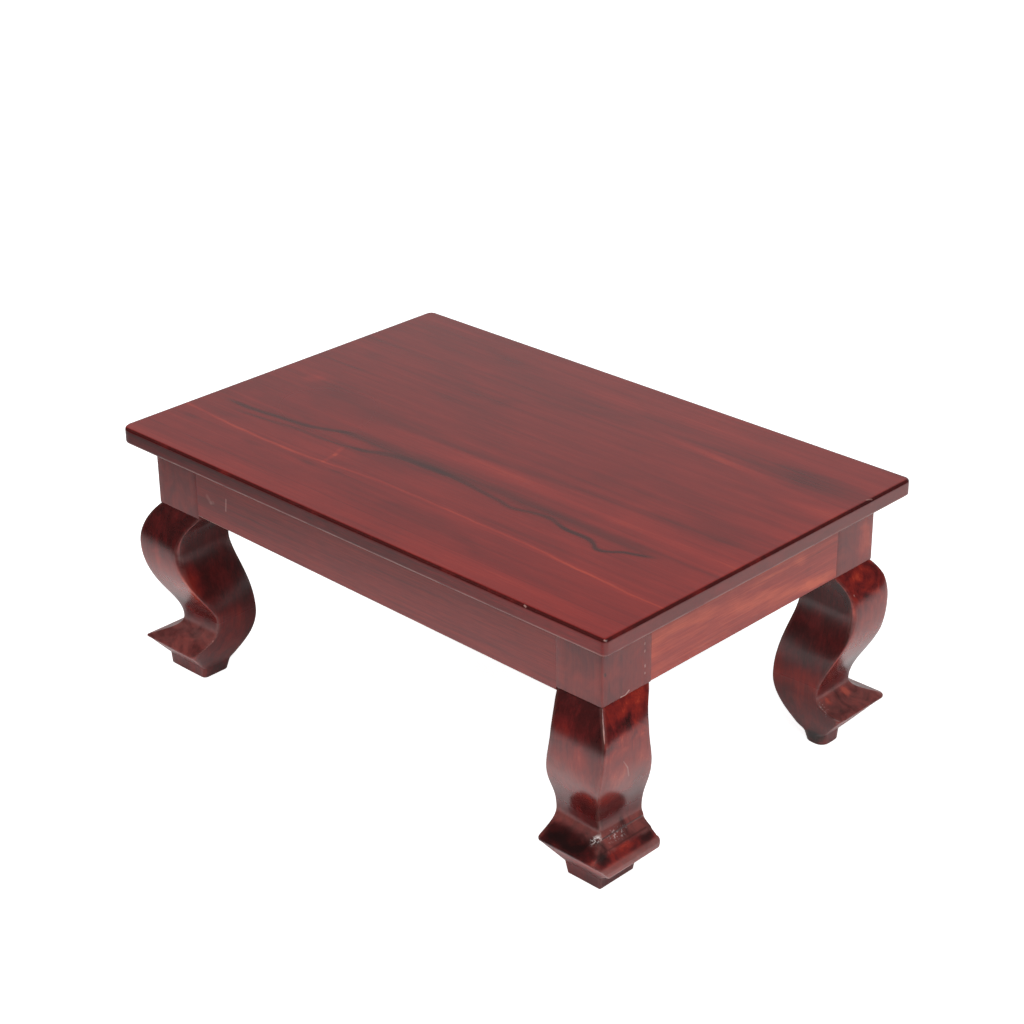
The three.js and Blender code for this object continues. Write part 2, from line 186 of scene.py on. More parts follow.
class Value:
    """What comes out of a node. Arithmetic with it adds the nodes that work it out."""

    def __init__(self, graph, socket):
        self.graph = graph
        self.socket = socket

    def calc(self, operation, *others):
        """The outcome of a math node, or of a vector math node for a vector or a colour."""
        is_vector = self.socket.type in ("VECTOR", "RGBA")
        kind = "ShaderNodeVectorMath" if is_vector else "ShaderNodeMath"
        return self.graph(kind, self, *others, operation=operation)

    def __add__(self, other):
        return self.calc("ADD", other)

    def __sub__(self, other):
        return self.calc("SUBTRACT", other)

    def __rsub__(self, other):
        return self.graph("ShaderNodeMath", other, self, operation="SUBTRACT")

    def __mul__(self, other):
        return self.calc("MULTIPLY", other)

    def __truediv__(self, other):
        return self.calc("DIVIDE", other)

    def __abs__(self):
        return self.calc("ABSOLUTE")

    def __gt__(self, other):
        return self.calc("GREATER_THAN", other)

    def __lt__(self, other):
        return self.calc("LESS_THAN", other)

    def at_least(self, other):
        return self.calc("MAXIMUM", other)

    def at_most(self, other):
        return self.calc("MINIMUM", other)

    def length(self):
        return self.calc("LENGTH")

    def dot(self, other):
        return self.calc("DOT_PRODUCT", other)

    def parts(self):
        """The X, Y and Z of a vector."""
        return [self.graph("ShaderNodeSeparateXYZ", self, pick=axis) for axis in range(3)]

    def blend(self, share, other):
        """This value where the share is 0, the other where it is 1."""
        return (other - self) * share + self

    def rise(self, low, high):
        """0 below low, 1 above high, and a smooth rise between them. Low may be the larger."""
        if low > high:
            return 1.0 - self.rise(high, low)
        return self.graph(
            "ShaderNodeMapRange", self, low, high, 0.0, 1.0, interpolation_type="SMOOTHSTEP",
        )

    def rise_mm(self, low, high):
        """The same for a value in metres, between two places in mm."""
        return self.rise(low * MM, high * MM)


class Graph:
    """A node tree that is written down node by node."""

    def __init__(self, tree):
        self.tree = tree

    def __call__(self, kind, *values, pick=0, **settings):
        """Adds a node, fills its inputs in their order and gives back one of its outputs."""
        node = self.tree.nodes.new(kind)
        for name, value in settings.items():
            setattr(node, name, value)
        self.fill([s for s in node.inputs if s.enabled], values)
        return Value(self, [s for s in node.outputs if s.enabled][pick])

    def by_name(self, kind, inputs, **settings):
        """Adds a node, fills the inputs that are named and gives back its first output."""
        node = self.tree.nodes.new(kind)
        for name, value in settings.items():
            setattr(node, name, value)
        for name, value in inputs:
            self.fill([node.inputs[name]], [value])
        return Value(self, node.outputs[0])

    def given(self, kind):
        """The outputs of a node that has no inputs, by their names."""
        return {s.name: Value(self, s) for s in self.tree.nodes.new(kind).outputs}

    def fill(self, sockets, values):
        for socket, value in zip(sockets, values):
            if isinstance(value, Value):
                self.tree.links.new(value.socket, socket)
            elif value is not None:
                socket.default_value = value

    def combined(self, x, y=0.0, z=0.0):
        return self("ShaderNodeCombineXYZ", x, y, z)

    def end(self, kind, value):
        """Ends the tree in an output node."""
        self.fill(self.tree.nodes.new(kind).inputs, [value])


class Finish(Graph):
    """A material that is drawn in the object's own coordinates, in metres."""

    def __init__(self, name):
        self.material = bpy.data.materials.new(name)
        self.material.use_nodes = True
        super().__init__(self.material.node_tree)
        self.tree.nodes.clear()
        self.place = self.given("ShaderNodeTexCoord")["Object"]
        self.xyz = self.place.parts()
        self.ragged = self.place

    def mapped(self, place, size, shift):
        """A place in units of this size in mm along X, Y and Z."""
        scale = [1 / (MM * length) for length in size]
        return self("ShaderNodeMapping", place, shift, (0, 0, 0), scale)

    def make_ragged(self, size, amount):
        """From here on, patches have edges that wander by about this many mm."""
        mapped = self.mapped(self.place, size, (5, 3, 1))
        colours = self("ShaderNodeTexNoise", mapped, 1.0, 3.0, 0.6, 2.0, 0.0, pick=1)
        drift = (colours - (0.5, 0.5, 0.5)) * (amount * MM, amount * MM, amount * MM)
        self.ragged = self.place + drift

    def noise(self, size, detail, roughness, distortion=0.0, shift=(0, 0, 0), place=None):
        """Noise whose blobs are about this long in mm along X, Y and Z, from 0 to 1."""
        mapped = self.mapped(place or self.place, size, shift)
        return self("ShaderNodeTexNoise", mapped, 1.0, detail, roughness, 2.0, distortion)

    def swing(self, *pattern):
        """The same noise, from -0.5 to 0.5."""
        return self.noise(*pattern) - 0.5

    def painted(self, colour, paint, share):
        """Lays paint over a colour, as thick as the share."""
        return self("ShaderNodeMix", share, colour, (*paint, 1), data_type="RGBA")

    def ramp(self, value, stops):
        """A colour for each value. stops are (place, colour)."""
        node = self.tree.nodes.new("ShaderNodeValToRGB")
        elements = node.color_ramp.elements
        while len(elements) < len(stops):
            elements.new(0.5)
        for element, (position, colour) in zip(elements, stops):
            element.position = position
            element.color = (*colour, 1)
        self.fill(node.inputs, [value])
        return Value(self, node.outputs[0])

    def line_over_x(self, points):
        """The Y of a line drawn through points in mm, at each X."""
        node = self.tree.nodes.new("ShaderNodeFloatCurve")
        reach_x = top_high.x / MM
        reach_y = top_high.y / MM
        curve = node.mapping.curves[0]
        for i, (x, y) in enumerate(points):
            place = ((x / reach_x + 1) / 2, (y / reach_y + 1) / 2)
            if i < 2:
                curve.points[i].location = place
            else:
                curve.points.new(*place)
        node.mapping.update()
        along = self("ShaderNodeMapRange", self.xyz[0], -top_high.x, top_high.x, 0.0, 1.0)
        self.fill(node.inputs, [1.0, along])
        return Value(self, node.outputs[0]) * (2 * top_high.y) - top_high.y

    def patch(self, centre, size, core):
        """1 in the core of an oval about a place in mm, fading to 0 at its edge."""
        shift = [-c / reach for c, reach in zip(centre, size)]
        return self.mapped(self.ragged, size, shift).length().rise(1.0, core)

    def mark(self, start, end, width):
        """1 on a straight mark between two places in mm, 0 beside it."""
        start = Vector(start) * MM
        along = Vector(end) * MM - start
        away = self.place - tuple(start)
        share = self("ShaderNodeClamp", away.dot(tuple(along / max(along.length_squared, 1e-12))))
        nearest = self("ShaderNodeVectorMath", tuple(along), share, operation="SCALE")
        return (away - nearest).length().rise_mm(width, width * 0.3)

    def finish(self, height, strength, depth, **inputs):
        """Ends in a surface with relief of this depth in mm. Inputs go by the shader's names."""
        relief = [("Strength", strength), ("Distance", depth * MM), ("Height", height)]
        named = [(name.replace("_", " "), value) for name, value in inputs.items()]
        named.append(("Normal", self.by_name("ShaderNodeBump", relief)))
        self.end("ShaderNodeOutputMaterial", self.by_name("ShaderNodeBsdfPrincipled", named))
        return self.material


# Finishes

BLACK_VEIN = (0.030, 0.008, 0.008)
# Painted dark reflection on the top's upper arris and the band below it, and also the cracks in the
# legs
DARK_EDGE = (0.024, 0.005, 0.005)
# Worn polish and nicks, and painted sheen on the arrises of the top, the legs and the front apron
PALE_WEAR_AND_SHEEN = (0.42, 0.22, 0.19)
DUST = (0.72, 0.64, 0.62)
DULL_TOE = (0.225, 0.092, 0.082)
# Painted sheen on a toe's lip and on the calves, for the floor they reflect
PALE_SHEEN = (0.290, 0.130, 0.120)
# Dull end grain, with a painted reflection of the floor on it
END_GRAIN_AND_SHEEN = (0.240, 0.145, 0.135)
TOP_POLISH = [
    (0.0, (0.030, 0.007, 0.007)), (0.25, (0.110, 0.009, 0.009)), (0.5, (0.190, 0.011, 0.010)),
    (0.75, (0.265, 0.016, 0.012)), (1.0, (0.400, 0.040, 0.018)),
]
LONG_APRON_POLISH = [
    (0.0, (0.035, 0.008, 0.008)), (0.5, (0.165, 0.013, 0.012)), (1.0, (0.290, 0.028, 0.018)),
]
SHORT_APRON_POLISH = [
    (0.0, (0.100, 0.012, 0.010)), (0.5, (0.290, 0.026, 0.017)), (1.0, (0.500, 0.080, 0.035)),
]
LEG_POLISH = [
    (0.0, (0.012, 0.004, 0.004)), (0.3, (0.050, 0.007, 0.007)), (0.5, (0.110, 0.010, 0.010)),
    (0.75, (0.230, 0.018, 0.012)), (1.0, (0.420, 0.050, 0.022)),
]
BARE_WOOD = [
    (0.25, (0.13, 0.055, 0.025)), (0.5, (0.25, 0.115, 0.05)), (0.75, (0.36, 0.19, 0.09)),
]
STEEL = [(0.3, (0.30, 0.29, 0.27)), (0.7, (0.52, 0.51, 0.49))]

# Patterns of wood: length along and across the grain in mm, detail, roughness and distortion
GRAIN = {
    "bands": (420, 34, 2, 0.5, 0.9),
    "streaks": (260, 7, 3, 0.6, 0.4),
    "cloud": (85, 30, 2, 0.5, 1.0),
    "fine": (60, 1.3, 3, 0.65, 0.1),
    "pores": (11, 0.45, 2, 0.6, 0.0),
}

# Patches of redder or darker colour on the legs: centre and reach in mm, and how much.
# The darker patches on the knee tops, 119 to 129 mm up just under the aprons, are painted shade of
# the overhanging top.
# The lighter patches low on the knees' outer faces, 85 to 96 mm up, are painted light from the
# white floor.
LEG_PATCHES = [
    ((188, -146, 117), (16, 12, 11), 0.20),
    ((217, -124, 123), (14, 13, 7), -0.34),
    ((218, -138, 122), (8, 8, 12), -0.20),
    ((213, 103, 129), (9, 9, 9), -0.26),
    ((219, 101, 119), (8, 8, 10), -0.22),
    ((214, 116, 132), (9, 8, 6), 0.22),
    ((-172, -144, 92), (9, 14, 32), 0.25),
    ((167, 91, 58), (13, 9, 28), 0.30),
    ((190, 93, 52), (20, 10, 24), 0.22),
    ((208, 120, 38), (7, 5, 5), 0.50),
    ((208, 101, 38), (6, 4, 5), 0.42),
    ((214, 110, 35), (10, 22, 8), -0.12),
    ((190, -142, 35), (36, 17, 12), -0.62),
    ((216, -117, 32), (4, 12, 6), 0.30),
    ((216, -139, 32), (7, 9, 6), -0.30),
    ((218, -99, 32), (6, 8, 6), -0.26),
    ((-186, -133, 40), (10, 6, 8), -0.30),
    ((220, -128, 88), (9, 16, 18), 0.12),
    ((222, -108, 96), (8, 9, 16), 0.14),
    ((212, 128, 156), (8, 15, 26), 0.24),
    ((214, 111, 131), (7, 9, 5), 0.12),
    ((178, -136, 154), (6, 8, 30), 0.10),
    ((-190, -145, 86), (36, 14, 26), 0.12),
    ((220, 115, 86), (12, 36, 26), 0.06),
    ((199, 100, 7), (14, 9, 7), -0.42),
]

# Lines of the top's figure, as X and Y in mm
UPPER_VEIN = [
    (-228, -70), (-208, -70), (-180, -69), (-150, -65.5), (-130, -62), (-115, -57), (-105, -53),
    (-92, -51), (-40, -50.5), (60, -49), (130, -50), (180, -50.5), (228, -52),
]
LOWER_VEIN = [
    (-228, -80), (-190, -78), (-160, -75), (-140, -72.5), (-100, -70), (-85, -68), (-70, -64),
    (-60, -60), (-45, -56), (-20, -54), (0, -54), (20, -55), (45, -58), (66, -60.5), (80, -57),
    (95, -56), (110, -60), (130, -61), (138, -63), (146, -67.5), (152, -66), (160, -60.5),
    (170, -56), (181, -52), (228, -50),
]
ORANGE_LINE = [
    (-228, -94), (-200, -96), (-160, -98), (-80, -96.5), (-62, -94), (-40, -92), (0, -91),
    (60, -92), (110, -92.5), (140, -95), (180, -97.5), (228, -99),
]
DARK_DIAGONAL = [(-228, -26), (-150, -22), (20, -15), (60, -12.5), (100, -9.5), (228, -3)]
ORANGE_FLAME = [(-228, 96), (40, 97), (70, 93), (110, 90), (165, 86), (228, 84)]

# Patches of redder or darker polish on the aprons: centre and reach in mm, core, how much
FRONT_APRON_PATCHES = [
    ((170, -136, 155), (90, 20, 60), 0.1, -0.03),
    ((-170, -136, 155), (120, 20, 60), 0.1, -0.11),
]
SHORT_APRON_PATCHES = [
    ((210, 56, 166), (9, 10, 7), 0.1, 0.30),
    ((210, 70, 142), (9, 26, 4), 0.2, 0.30),
    ((210, 66, 153), (9, 22, 6), 0.1, -0.16),
    ((210, -88, 150), (9, 14, 30), 0.1, 0.14),
]

# The same on the top: X, Y, reach in X, reach in Y, core, how much
TOP_PATCHES = [
    (-160, -3, 38, 17, 0.1, -0.11), (172, 104, 80, 24, 0.1, -0.28), (-150, -95, 120, 50, 0.1, 0.07),
    (228, 10, 34, 110, 0.1, 0.10), (-60, 60, 130, 60, 0.1, -0.04), (112, 101, 44, 6, 0.2, -0.12),
    (0, 113, 48, 15, 0.1, 0.16), (212, 70, 60, 13, 0.2, 0.20), (205, 24, 60, 10, 0.2, 0.14),
    (-193, -2, 11, 10, 0.2, 0.18), (-78, -60, 40, 5, 0.2, 0.14), (60, -27, 220, 12, 0.2, 0.10),
    (-60, -102, 9, 3, 0.1, -0.16), (-86, -105, 12, 3, 0.1, -0.14), (-140, -110, 16, 5, 0.1, -0.14),
    (-205, -107, 14, 5, 0.1, -0.12), (0, -113, 170, 14, 0.2, -0.10), (150, -139, 110, 9, 0.2, 0.06),
]
PATCH_Z = 190
PATCH_REACH_Z = 90

# Streaks of the top: line, how far it wanders, its core and edge beside the line, where it starts
# and ends in X and over what length it fades there, all in mm, and how much
TOP_STREAKS = [
    (DARK_DIAGONAL, 5, 0.5, 6, -60, 240, 60, -0.18),
    (ORANGE_FLAME, 4, 0.8, 5, 65, 160, 18, 0.20),
    (ORANGE_LINE, 3, 0.2, 1.8, -300, 300, 12, 0.20),
    (ORANGE_LINE, 3, 0.4, 3, -300, -70, 14, 0.14),
    (ORANGE_LINE, 3, 0.5, 5, 60, 240, 60, 0.10),
]
TOP_VEINS = [
    (UPPER_VEIN, 4, 0.2, 4, -206, -96, 10, 0.72),
    (UPPER_VEIN, 6, 0.6, 8, -100, 175, 14, 0.42),
    (LOWER_VEIN, 4, 0.2, 3, -192, -70, 14, 0.42),
    (LOWER_VEIN, 4, 0.3, 5.4, -80, 0, 12, 0.62),
    (LOWER_VEIN, 4, 0.2, 3.4, -20, 120, 20, 0.60),
    (LOWER_VEIN, 3, 0.3, 3.6, 105, 178, 8, 0.78),
]
ORANGE_CROSSING = [((-86, -72, 196), (-81, -83, 196)), ((-81, -83, 196), (-79, -95, 196))]

# Marks: from, to, width in mm, and how strong
TOP_NICKS = [
    ((163.2, -151.6, 195.3), (164.6, -151.8, 194.9), 0.9, 0.8),
    ((226.4, 104.5, 195.9), (227.4, 108.4, 195.2), 1.0, 0.5),
    ((226.6, -151.0, 195.2), (227.4, -150.4, 194.4), 0.8, 0.9),
]
FRONT_APRON_SCRATCHES = [
    ((-136.4, -135.7, 162.6), (-137.4, -135.7, 153.6), 0.9, 0.45),
    ((-157.0, -135.7, 158.6), (-153.6, -135.7, 154.6), 2.2, 0.16),
    ((-153.6, -135.7, 154.6), (-150.6, -135.7, 155.6), 1.8, 0.16),
]
LEG_NICKS = [
    ((211.8, -118.7, 137.3), (211.8, -115.0, 136.9), 0.8, 0.8),
    ((211.8, -115.0, 136.9), (211.9, -111.4, 139.0), 0.8, 0.8),
    ((211.8, -118.7, 137.3), (214.5, -119.6, 133.0), 0.7, 0.8),
    ((220.6, -126.3, 99.4), (219.8, -121.0, 92.0), 0.7, 0.5),
    ((219.8, -121.0, 92.0), (218.0, -117.5, 83.5), 0.7, 0.5),
    # These two make a pale line down the arris at the top of the right front knee: a scratch, and a
    # painted highlight of that arris
    ((212.4, -136.6, 135.2), (216.6, -140.4, 128.0), 0.6, 0.9),
    ((216.6, -140.4, 128.0), (220.7, -143.3, 119.0), 0.6, 0.9),
    ((211.7, -97.3, 166.1), (211.7, -97.4, 165.4), 0.8, 0.5),
    ((211.7, -97.2, 161.0), (211.7, -97.3, 160.0), 0.8, 0.5),
    ((211.7, -96.9, 150.5), (211.7, -96.8, 149.5), 0.9, 0.5),
    ((211.7, -96.8, 145.3), (211.7, -96.8, 144.7), 0.8, 0.5),
    ((219.4, 106.4, 122.5), (219.6, 107.2, 120.6), 0.9, 0.6),
    ((-167.9, -131.5, 38.6), (-167.9, -131.7, 37.4), 0.9, 0.7),
]
LEG_CRACKS = [
    ((211.7, -133.4, 159.4), (211.7, -133.0, 158.2), 1.3, 0.7),
    ((208.5, 91.6, 38), (219, 92.6, 33), 0.8, 0.7),
    ((213.4, -138, 33.4), (213.6, -96, 33.4), 1.1, 0.7),
    ((207.9, -130, 38.8), (208.1, -94, 38.8), 0.8, 0.7),
]

# Ovals of dust, gloss and painted sheen on the legs: centre and reach in mm. Dust has its least
# speck and its strength too.
GLOSSY_TOES = [((184, -146, 34), (42, 18, 16)), ((219, -118, 30), (5.6, 40, 9))]
# Painted sheen on the calves, for the white floor they reflect
SHEEN_ON_CALVES = [((220, -118, 78), (14, 34, 20)), ((186, -147, 80), (34, 14, 17))]
LEG_DUST = [
    ((204.5, -134, 40), (5, 5, 7), 0.47, 1.0),
    ((209, -119, 38), (5, 15, 6), 0.56, 0.4),
    ((209, 93, 36), (8, 4, 7), 0.62, 0.6),
]

POLISH_IOR = 1.5


def grain_of(finish, grain, place=None, shift=(0, 0, 0)):
    """The patterns of wood whose grain runs along one axis, each from -0.5 to 0.5."""
    patterns = {}
    for name, (along, across, *settings) in GRAIN.items():
        size = [along if axis == grain else across for axis in "xyz"]
        patterns[name] = finish.swing(size, *settings, shift, place)
    return patterns


def grained(wood, **amounts):
    """The patterns of the wood with their amounts."""
    return [(wood[name], amount) for name, amount in amounts.items()]


def toned(tone, *features):
    """Adds to the tone each pattern times its amount. Each feature is (pattern, amount)."""
    for pattern, amount in features:
        tone = pattern.calc("MULTIPLY_ADD", amount, tone)
    return tone


def patches(finish, table):
    """The patches of a table with their amounts."""
    return [(finish.patch(*oval), amount) for *oval, amount in table]


def marked(finish, colour, paint, marks):
    """Lays the marks of a list over a colour."""
    for *mark, strength in marks:
        colour = finish.painted(colour, paint, finish.mark(*mark) * strength)
    return colour


def gloss(finish, roughness, size=60, spread=0.06):
    """Polish is a little duller in some places than in others."""
    return toned(roughness, (finish.swing((size, size, size), 1, 0.5), spread))


def relief(finish, pores, waves, height=6.0):
    """Open pores in a hand-planed surface."""
    return toned(pores, (finish.noise(waves, 1, 0.4), height))


def top_grain(finish):
    """The grain of the top's three boards, each cut from another place."""
    x, y, z = finish.xyz
    board = (y > rear_joint) * 0.71 + (y < front_joint) * 0.43
    return grain_of(finish, "x", finish.combined(x + board, y, z - top_high.z + board))


def streak(finish, ragged, line, wander, core, edge, start, end, fade):
    """1 on a line of the figure, which wanders a little, between two places in X."""
    x, y, _ = finish.xyz
    away = abs((ragged - 0.5) * (wander * MM) + y - finish.line_over_x(line))
    within = x.rise_mm(start - fade, start + fade) * x.rise_mm(end + fade, end - fade)
    return away.rise_mm(edge, core) * within


def top_face_tone(finish, wood, ragged):
    """The upper face: grain, redder and darker places, streaks and the joint of the front strip."""
    finish.make_ragged((60, 14, 60), 12)
    x, y, _ = finish.xyz
    places = [
        ((place_x, place_y, PATCH_Z), (reach_x, reach_y, PATCH_REACH_Z), core, amount)
        for place_x, place_y, reach_x, reach_y, core, amount in TOP_PATCHES
    ]
    streaks = [(streak(finish, ragged, *figure), amount) for *figure, amount in TOP_STREAKS]
    crossing = [(finish.mark(start, end, 2.6), 0.16) for start, end in ORANGE_CROSSING]
    return toned(
        0.525, *grained(wood, bands=0.45, streaks=0.50, cloud=0.40, fine=0.30, pores=0.22),
        (x, 0.16), *patches(finish, places), (y.rise_mm(-129.5, -131), 0.10),
        (abs(y - front_joint) < 0.35 * MM, -0.12), *streaks, *crossing,
    )


def top_edge_tone(finish, wood, short_edge, under_arris):
    """The edges: long grain in front and behind, end grain at the left and right."""
    x, _, _ = finish.xyz
    # The band just under the upper arris is toned darker, more to the left: painted shade below the
    # arris
    long_tone = toned(
        0.20, (x.rise_mm(20, 220), 0.24), (under_arris, -0.05),
        *grained(wood, streaks=0.12, fine=0.55, pores=0.7),
    )
    cut = finish.swing((30, 34, 9), 4, 0.6, 0.5, (3, 1, 4))
    specks = finish.swing((2.6, 2.6, 2.2), 3, 0.7, 0.3, (2, 2, 6))
    return long_tone.blend(short_edge, toned(0.33, (cut, 0.6), (specks, 0.32)))


def polished_top():
    """Rosewood under red polish: a forked black vein, an orange line, and a dark reflection painted
    on the upper arris.
    """
    finish = Finish("polished_top")
    wood = top_grain(finish)
    ragged = finish.noise((26, 9, 50), 3, 0.6, 0.0, (0.7, 0.2, 0))
    x, y, z = finish.xyz
    beyond_x, beyond_y = abs(x) - top_high.x, abs(y) - top_high.y
    below = top_high.z - z
    edge = below.rise_mm(1.4, 2.6)
    short_edge = beyond_x.rise_mm(-2, -0.5)
    # A band just under the upper arris, stronger to the left, that is painted darker as shade
    under_arris = below.rise_mm(10, 3) * x.rise_mm(120, -220)
    face_tone = top_face_tone(finish, wood, ragged)
    tone = face_tone.blend(edge, top_edge_tone(finish, wood, short_edge, under_arris))
    colour = finish.ramp(tone, TOP_POLISH)
    # The end faces are painted pale, more towards the rear: dull end grain, and a painted
    # reflection of the white floor
    pale_share = y.rise_mm(-140, 140) * 0.14 + 0.12
    colour = finish.painted(colour, END_GRAIN_AND_SHEEN, pale_share * short_edge * edge)
    # Painted shade: the long edges darkened just under the upper arris
    colour = finish.painted(colour, DARK_EDGE, (edge - short_edge) * under_arris * 0.55)
    for *vein, strength in TOP_VEINS:
        colour = finish.painted(colour, BLACK_VEIN, streak(finish, ragged, *vein) * strength)

    beyond = beyond_x.at_least(beyond_y)
    reflection_and_wear = finish.noise((22, 22, 60), 3, 0.6, 0.0, (1, 2, 3))
    # Painted reflection: the rounded upper arris darkened for the dark room it mirrors, broken up
    # by noise
    arris = beyond.rise_mm(-2.3, -1.0) * below.rise_mm(2.6, 1.4) * reflection_and_wear.rise(0.1, 0.5)
    colour = finish.painted(colour, DARK_EDGE, arris * 0.85)
    # Painted reflection: the lower arris paled for the white floor it mirrors, broken up by noise
    arris = (z - top_low.z).rise_mm(1.7, 0.7) * beyond.rise_mm(-1.6, -0.9) * reflection_and_wear.rise(0.25, 0.6)
    colour = finish.painted(colour, PALE_WEAR_AND_SHEEN, arris * 0.42)
    colour = marked(finish, colour, PALE_WEAR_AND_SHEEN, TOP_NICKS)
    return finish.finish(
        relief(finish, wood["pores"], (170, 90, 170), 3.0), 0.11, 0.03, Base_Color=colour,
        Roughness=toned(gloss(finish, 0.27, 150, 0.03), (edge, 0.12)), IOR=POLISH_IOR,
    )


def plain(finish):
    """No figure and no pale marks but those of every apron."""
    return []


def polished_apron(name, grain, stops, shift, tone, cloudiness, figure=plain, pale_marks=plain):
    """An apron: grain along its length, a figure of its own, and where it is pale from worn polish
    and from painted sheen.
    """
    finish = Finish(name)
    wood = grain_of(finish, grain, None, shift)
    finish.make_ragged((30, 14, 14), 10)
    tone = toned(
        tone, *figure(finish),
        *grained(wood, bands=0.5, streaks=0.5, cloud=cloudiness, fine=0.75, pores=0.55),
    )
    colour = finish.ramp(tone, stops)
    for mask, strength in pale_marks(finish):
        colour = finish.painted(colour, PALE_WEAR_AND_SHEEN, mask * strength)
    return finish.finish(
        relief(finish, wood["fine"], (30, 30, 30)), 0.22, 0.03,
        Base_Color=colour, Roughness=gloss(finish, 0.30), IOR=POLISH_IOR,
    )


def front_apron_figure(finish):
    """A little darker towards the ends."""
    return patches(finish, FRONT_APRON_PATCHES)


def front_apron_wear_and_sheen(finish):
    """A scratch, a dull scuff, and a lower arris pale in places from worn polish and from painted
    sheen for the floor it reflects.
    """
    x, y, z = finish.xyz
    # Painted sheen and worn polish: the lower arris paled in places, for the floor it reflects
    lower = (x * 0.01404 + z).rise_mm(138.0, 137.2) * y.rise_mm(-134, -135)
    reflection_and_wear = finish.noise((38, 60, 60), 3, 0.7).rise(0.45, 0.62)
    scratches = [(finish.mark(*mark), strength) for *mark, strength in FRONT_APRON_SCRATCHES]
    return [(lower * reflection_and_wear, 0.75), *scratches]


def short_apron_figure(finish):
    """A paler tongue of wood that runs down to the rear, clouds, and darker and redder places."""
    _, y, z = finish.xyz
    return [
        (abs(y * 0.17 + z - 155.5 * MM).rise_mm(6.5, 1.5), 0.20),
        (y, -0.7),
        (finish.noise((30, 26, 13), 4, 0.65, 0.8, (6, 2, 3)), 0.42),
        *patches(finish, SHORT_APRON_PATCHES),
    ]


def leg_parts(finish):
    """The parts of a leg, each 1 there and 0 elsewhere."""
    x, y, z = finish.xyz
    normal_x, normal_y, normal_z = finish.given("ShaderNodeNewGeometry")["Normal"].parts()
    outwards = (normal_x * x.calc("SIGN")).at_least(normal_y * y.calc("SIGN"))
    faces_out = outwards.rise(0.2, 0.5)
    post = z.rise_mm(136.2, 136.9)
    below_post = 1.0 - post
    waist = z.rise_mm(36, 46) * z.rise_mm(73, 60)
    reach = z.rise_mm(12, 22) * 0.45 + 0.55 - waist * 0.72
    return dict(
        post=post, below_post=below_post,
        # Outer faces that look down at the white floor, lightened as painted light from it, less at
        # the waist
        floor_lit_undercut=normal_z.rise(0.24, -0.14) * faces_out * below_post * reach,
        inner_calf=(1.0 - faces_out) * z.rise_mm(70, 50) * z.rise_mm(6, 14),
        toe=z.rise_mm(54, 46) * normal_z.rise(-0.1, 0.3),
        red_knee=z.rise_mm(98, 118) * below_post * x.rise_mm(0, 100) * normal_x.rise(0.3, 0.8),
    )


def worn_leg(finish, colour, part, mottle):
    """Arrises paler from worn polish and painted highlight, painted sheen on the calves and a toe's
    lip, dull toes with dust, and single knocks and cracks.
    """
    x, y, z = finish.xyz
    arris = finish("ShaderNodeAttribute", pick=2, attribute_name="arris")
    # Arrises paler below the post: worn polish, and a painted highlight for the rounded arris
    reflection_and_wear = arris.rise(0.55, 1.0) * part["below_post"] * mottle.rise(-0.2, 0.1)
    colour = finish.painted(colour, PALE_WEAR_AND_SHEEN, reflection_and_wear * 0.10)
    dull = part["toe"] * mottle.rise(-0.35, 0.15)
    for centre, size in GLOSSY_TOES:
        dull *= 1.0 - finish.patch(centre, size, 0.6)
    colour = finish.painted(colour, DULL_TOE, dull * 0.42)
    # Painted highlight: the rounded lip of the right front toe paled for the floor it reflects
    lip = x.rise_mm(219.5, 222.5) * y.rise_mm(-80, -90) * z.rise_mm(34, 32) * z.rise_mm(20, 24)
    colour = finish.painted(colour, PALE_SHEEN, lip * 0.45)
    # Painted reflection: the lower knees of the right front leg paled for the white floor they face
    for centre, size in SHEEN_ON_CALVES:
        reflection_and_wear = finish.patch(centre, size, 0.1) * part["below_post"]
        colour = finish.painted(colour, PALE_SHEEN, reflection_and_wear * 0.26)
    colour = marked(finish, colour, PALE_WEAR_AND_SHEEN, LEG_NICKS)
    speck = finish.noise((1.3, 1.3, 1.3), 2, 0.6)
    for centre, size, least, strength in LEG_DUST:
        pale_share = finish.patch(centre, size, 0.2) * speck.rise(least, least + 0.06)
        colour = finish.painted(colour, DUST, pale_share * strength)
    return marked(finish, colour, DARK_EDGE, LEG_CRACKS)


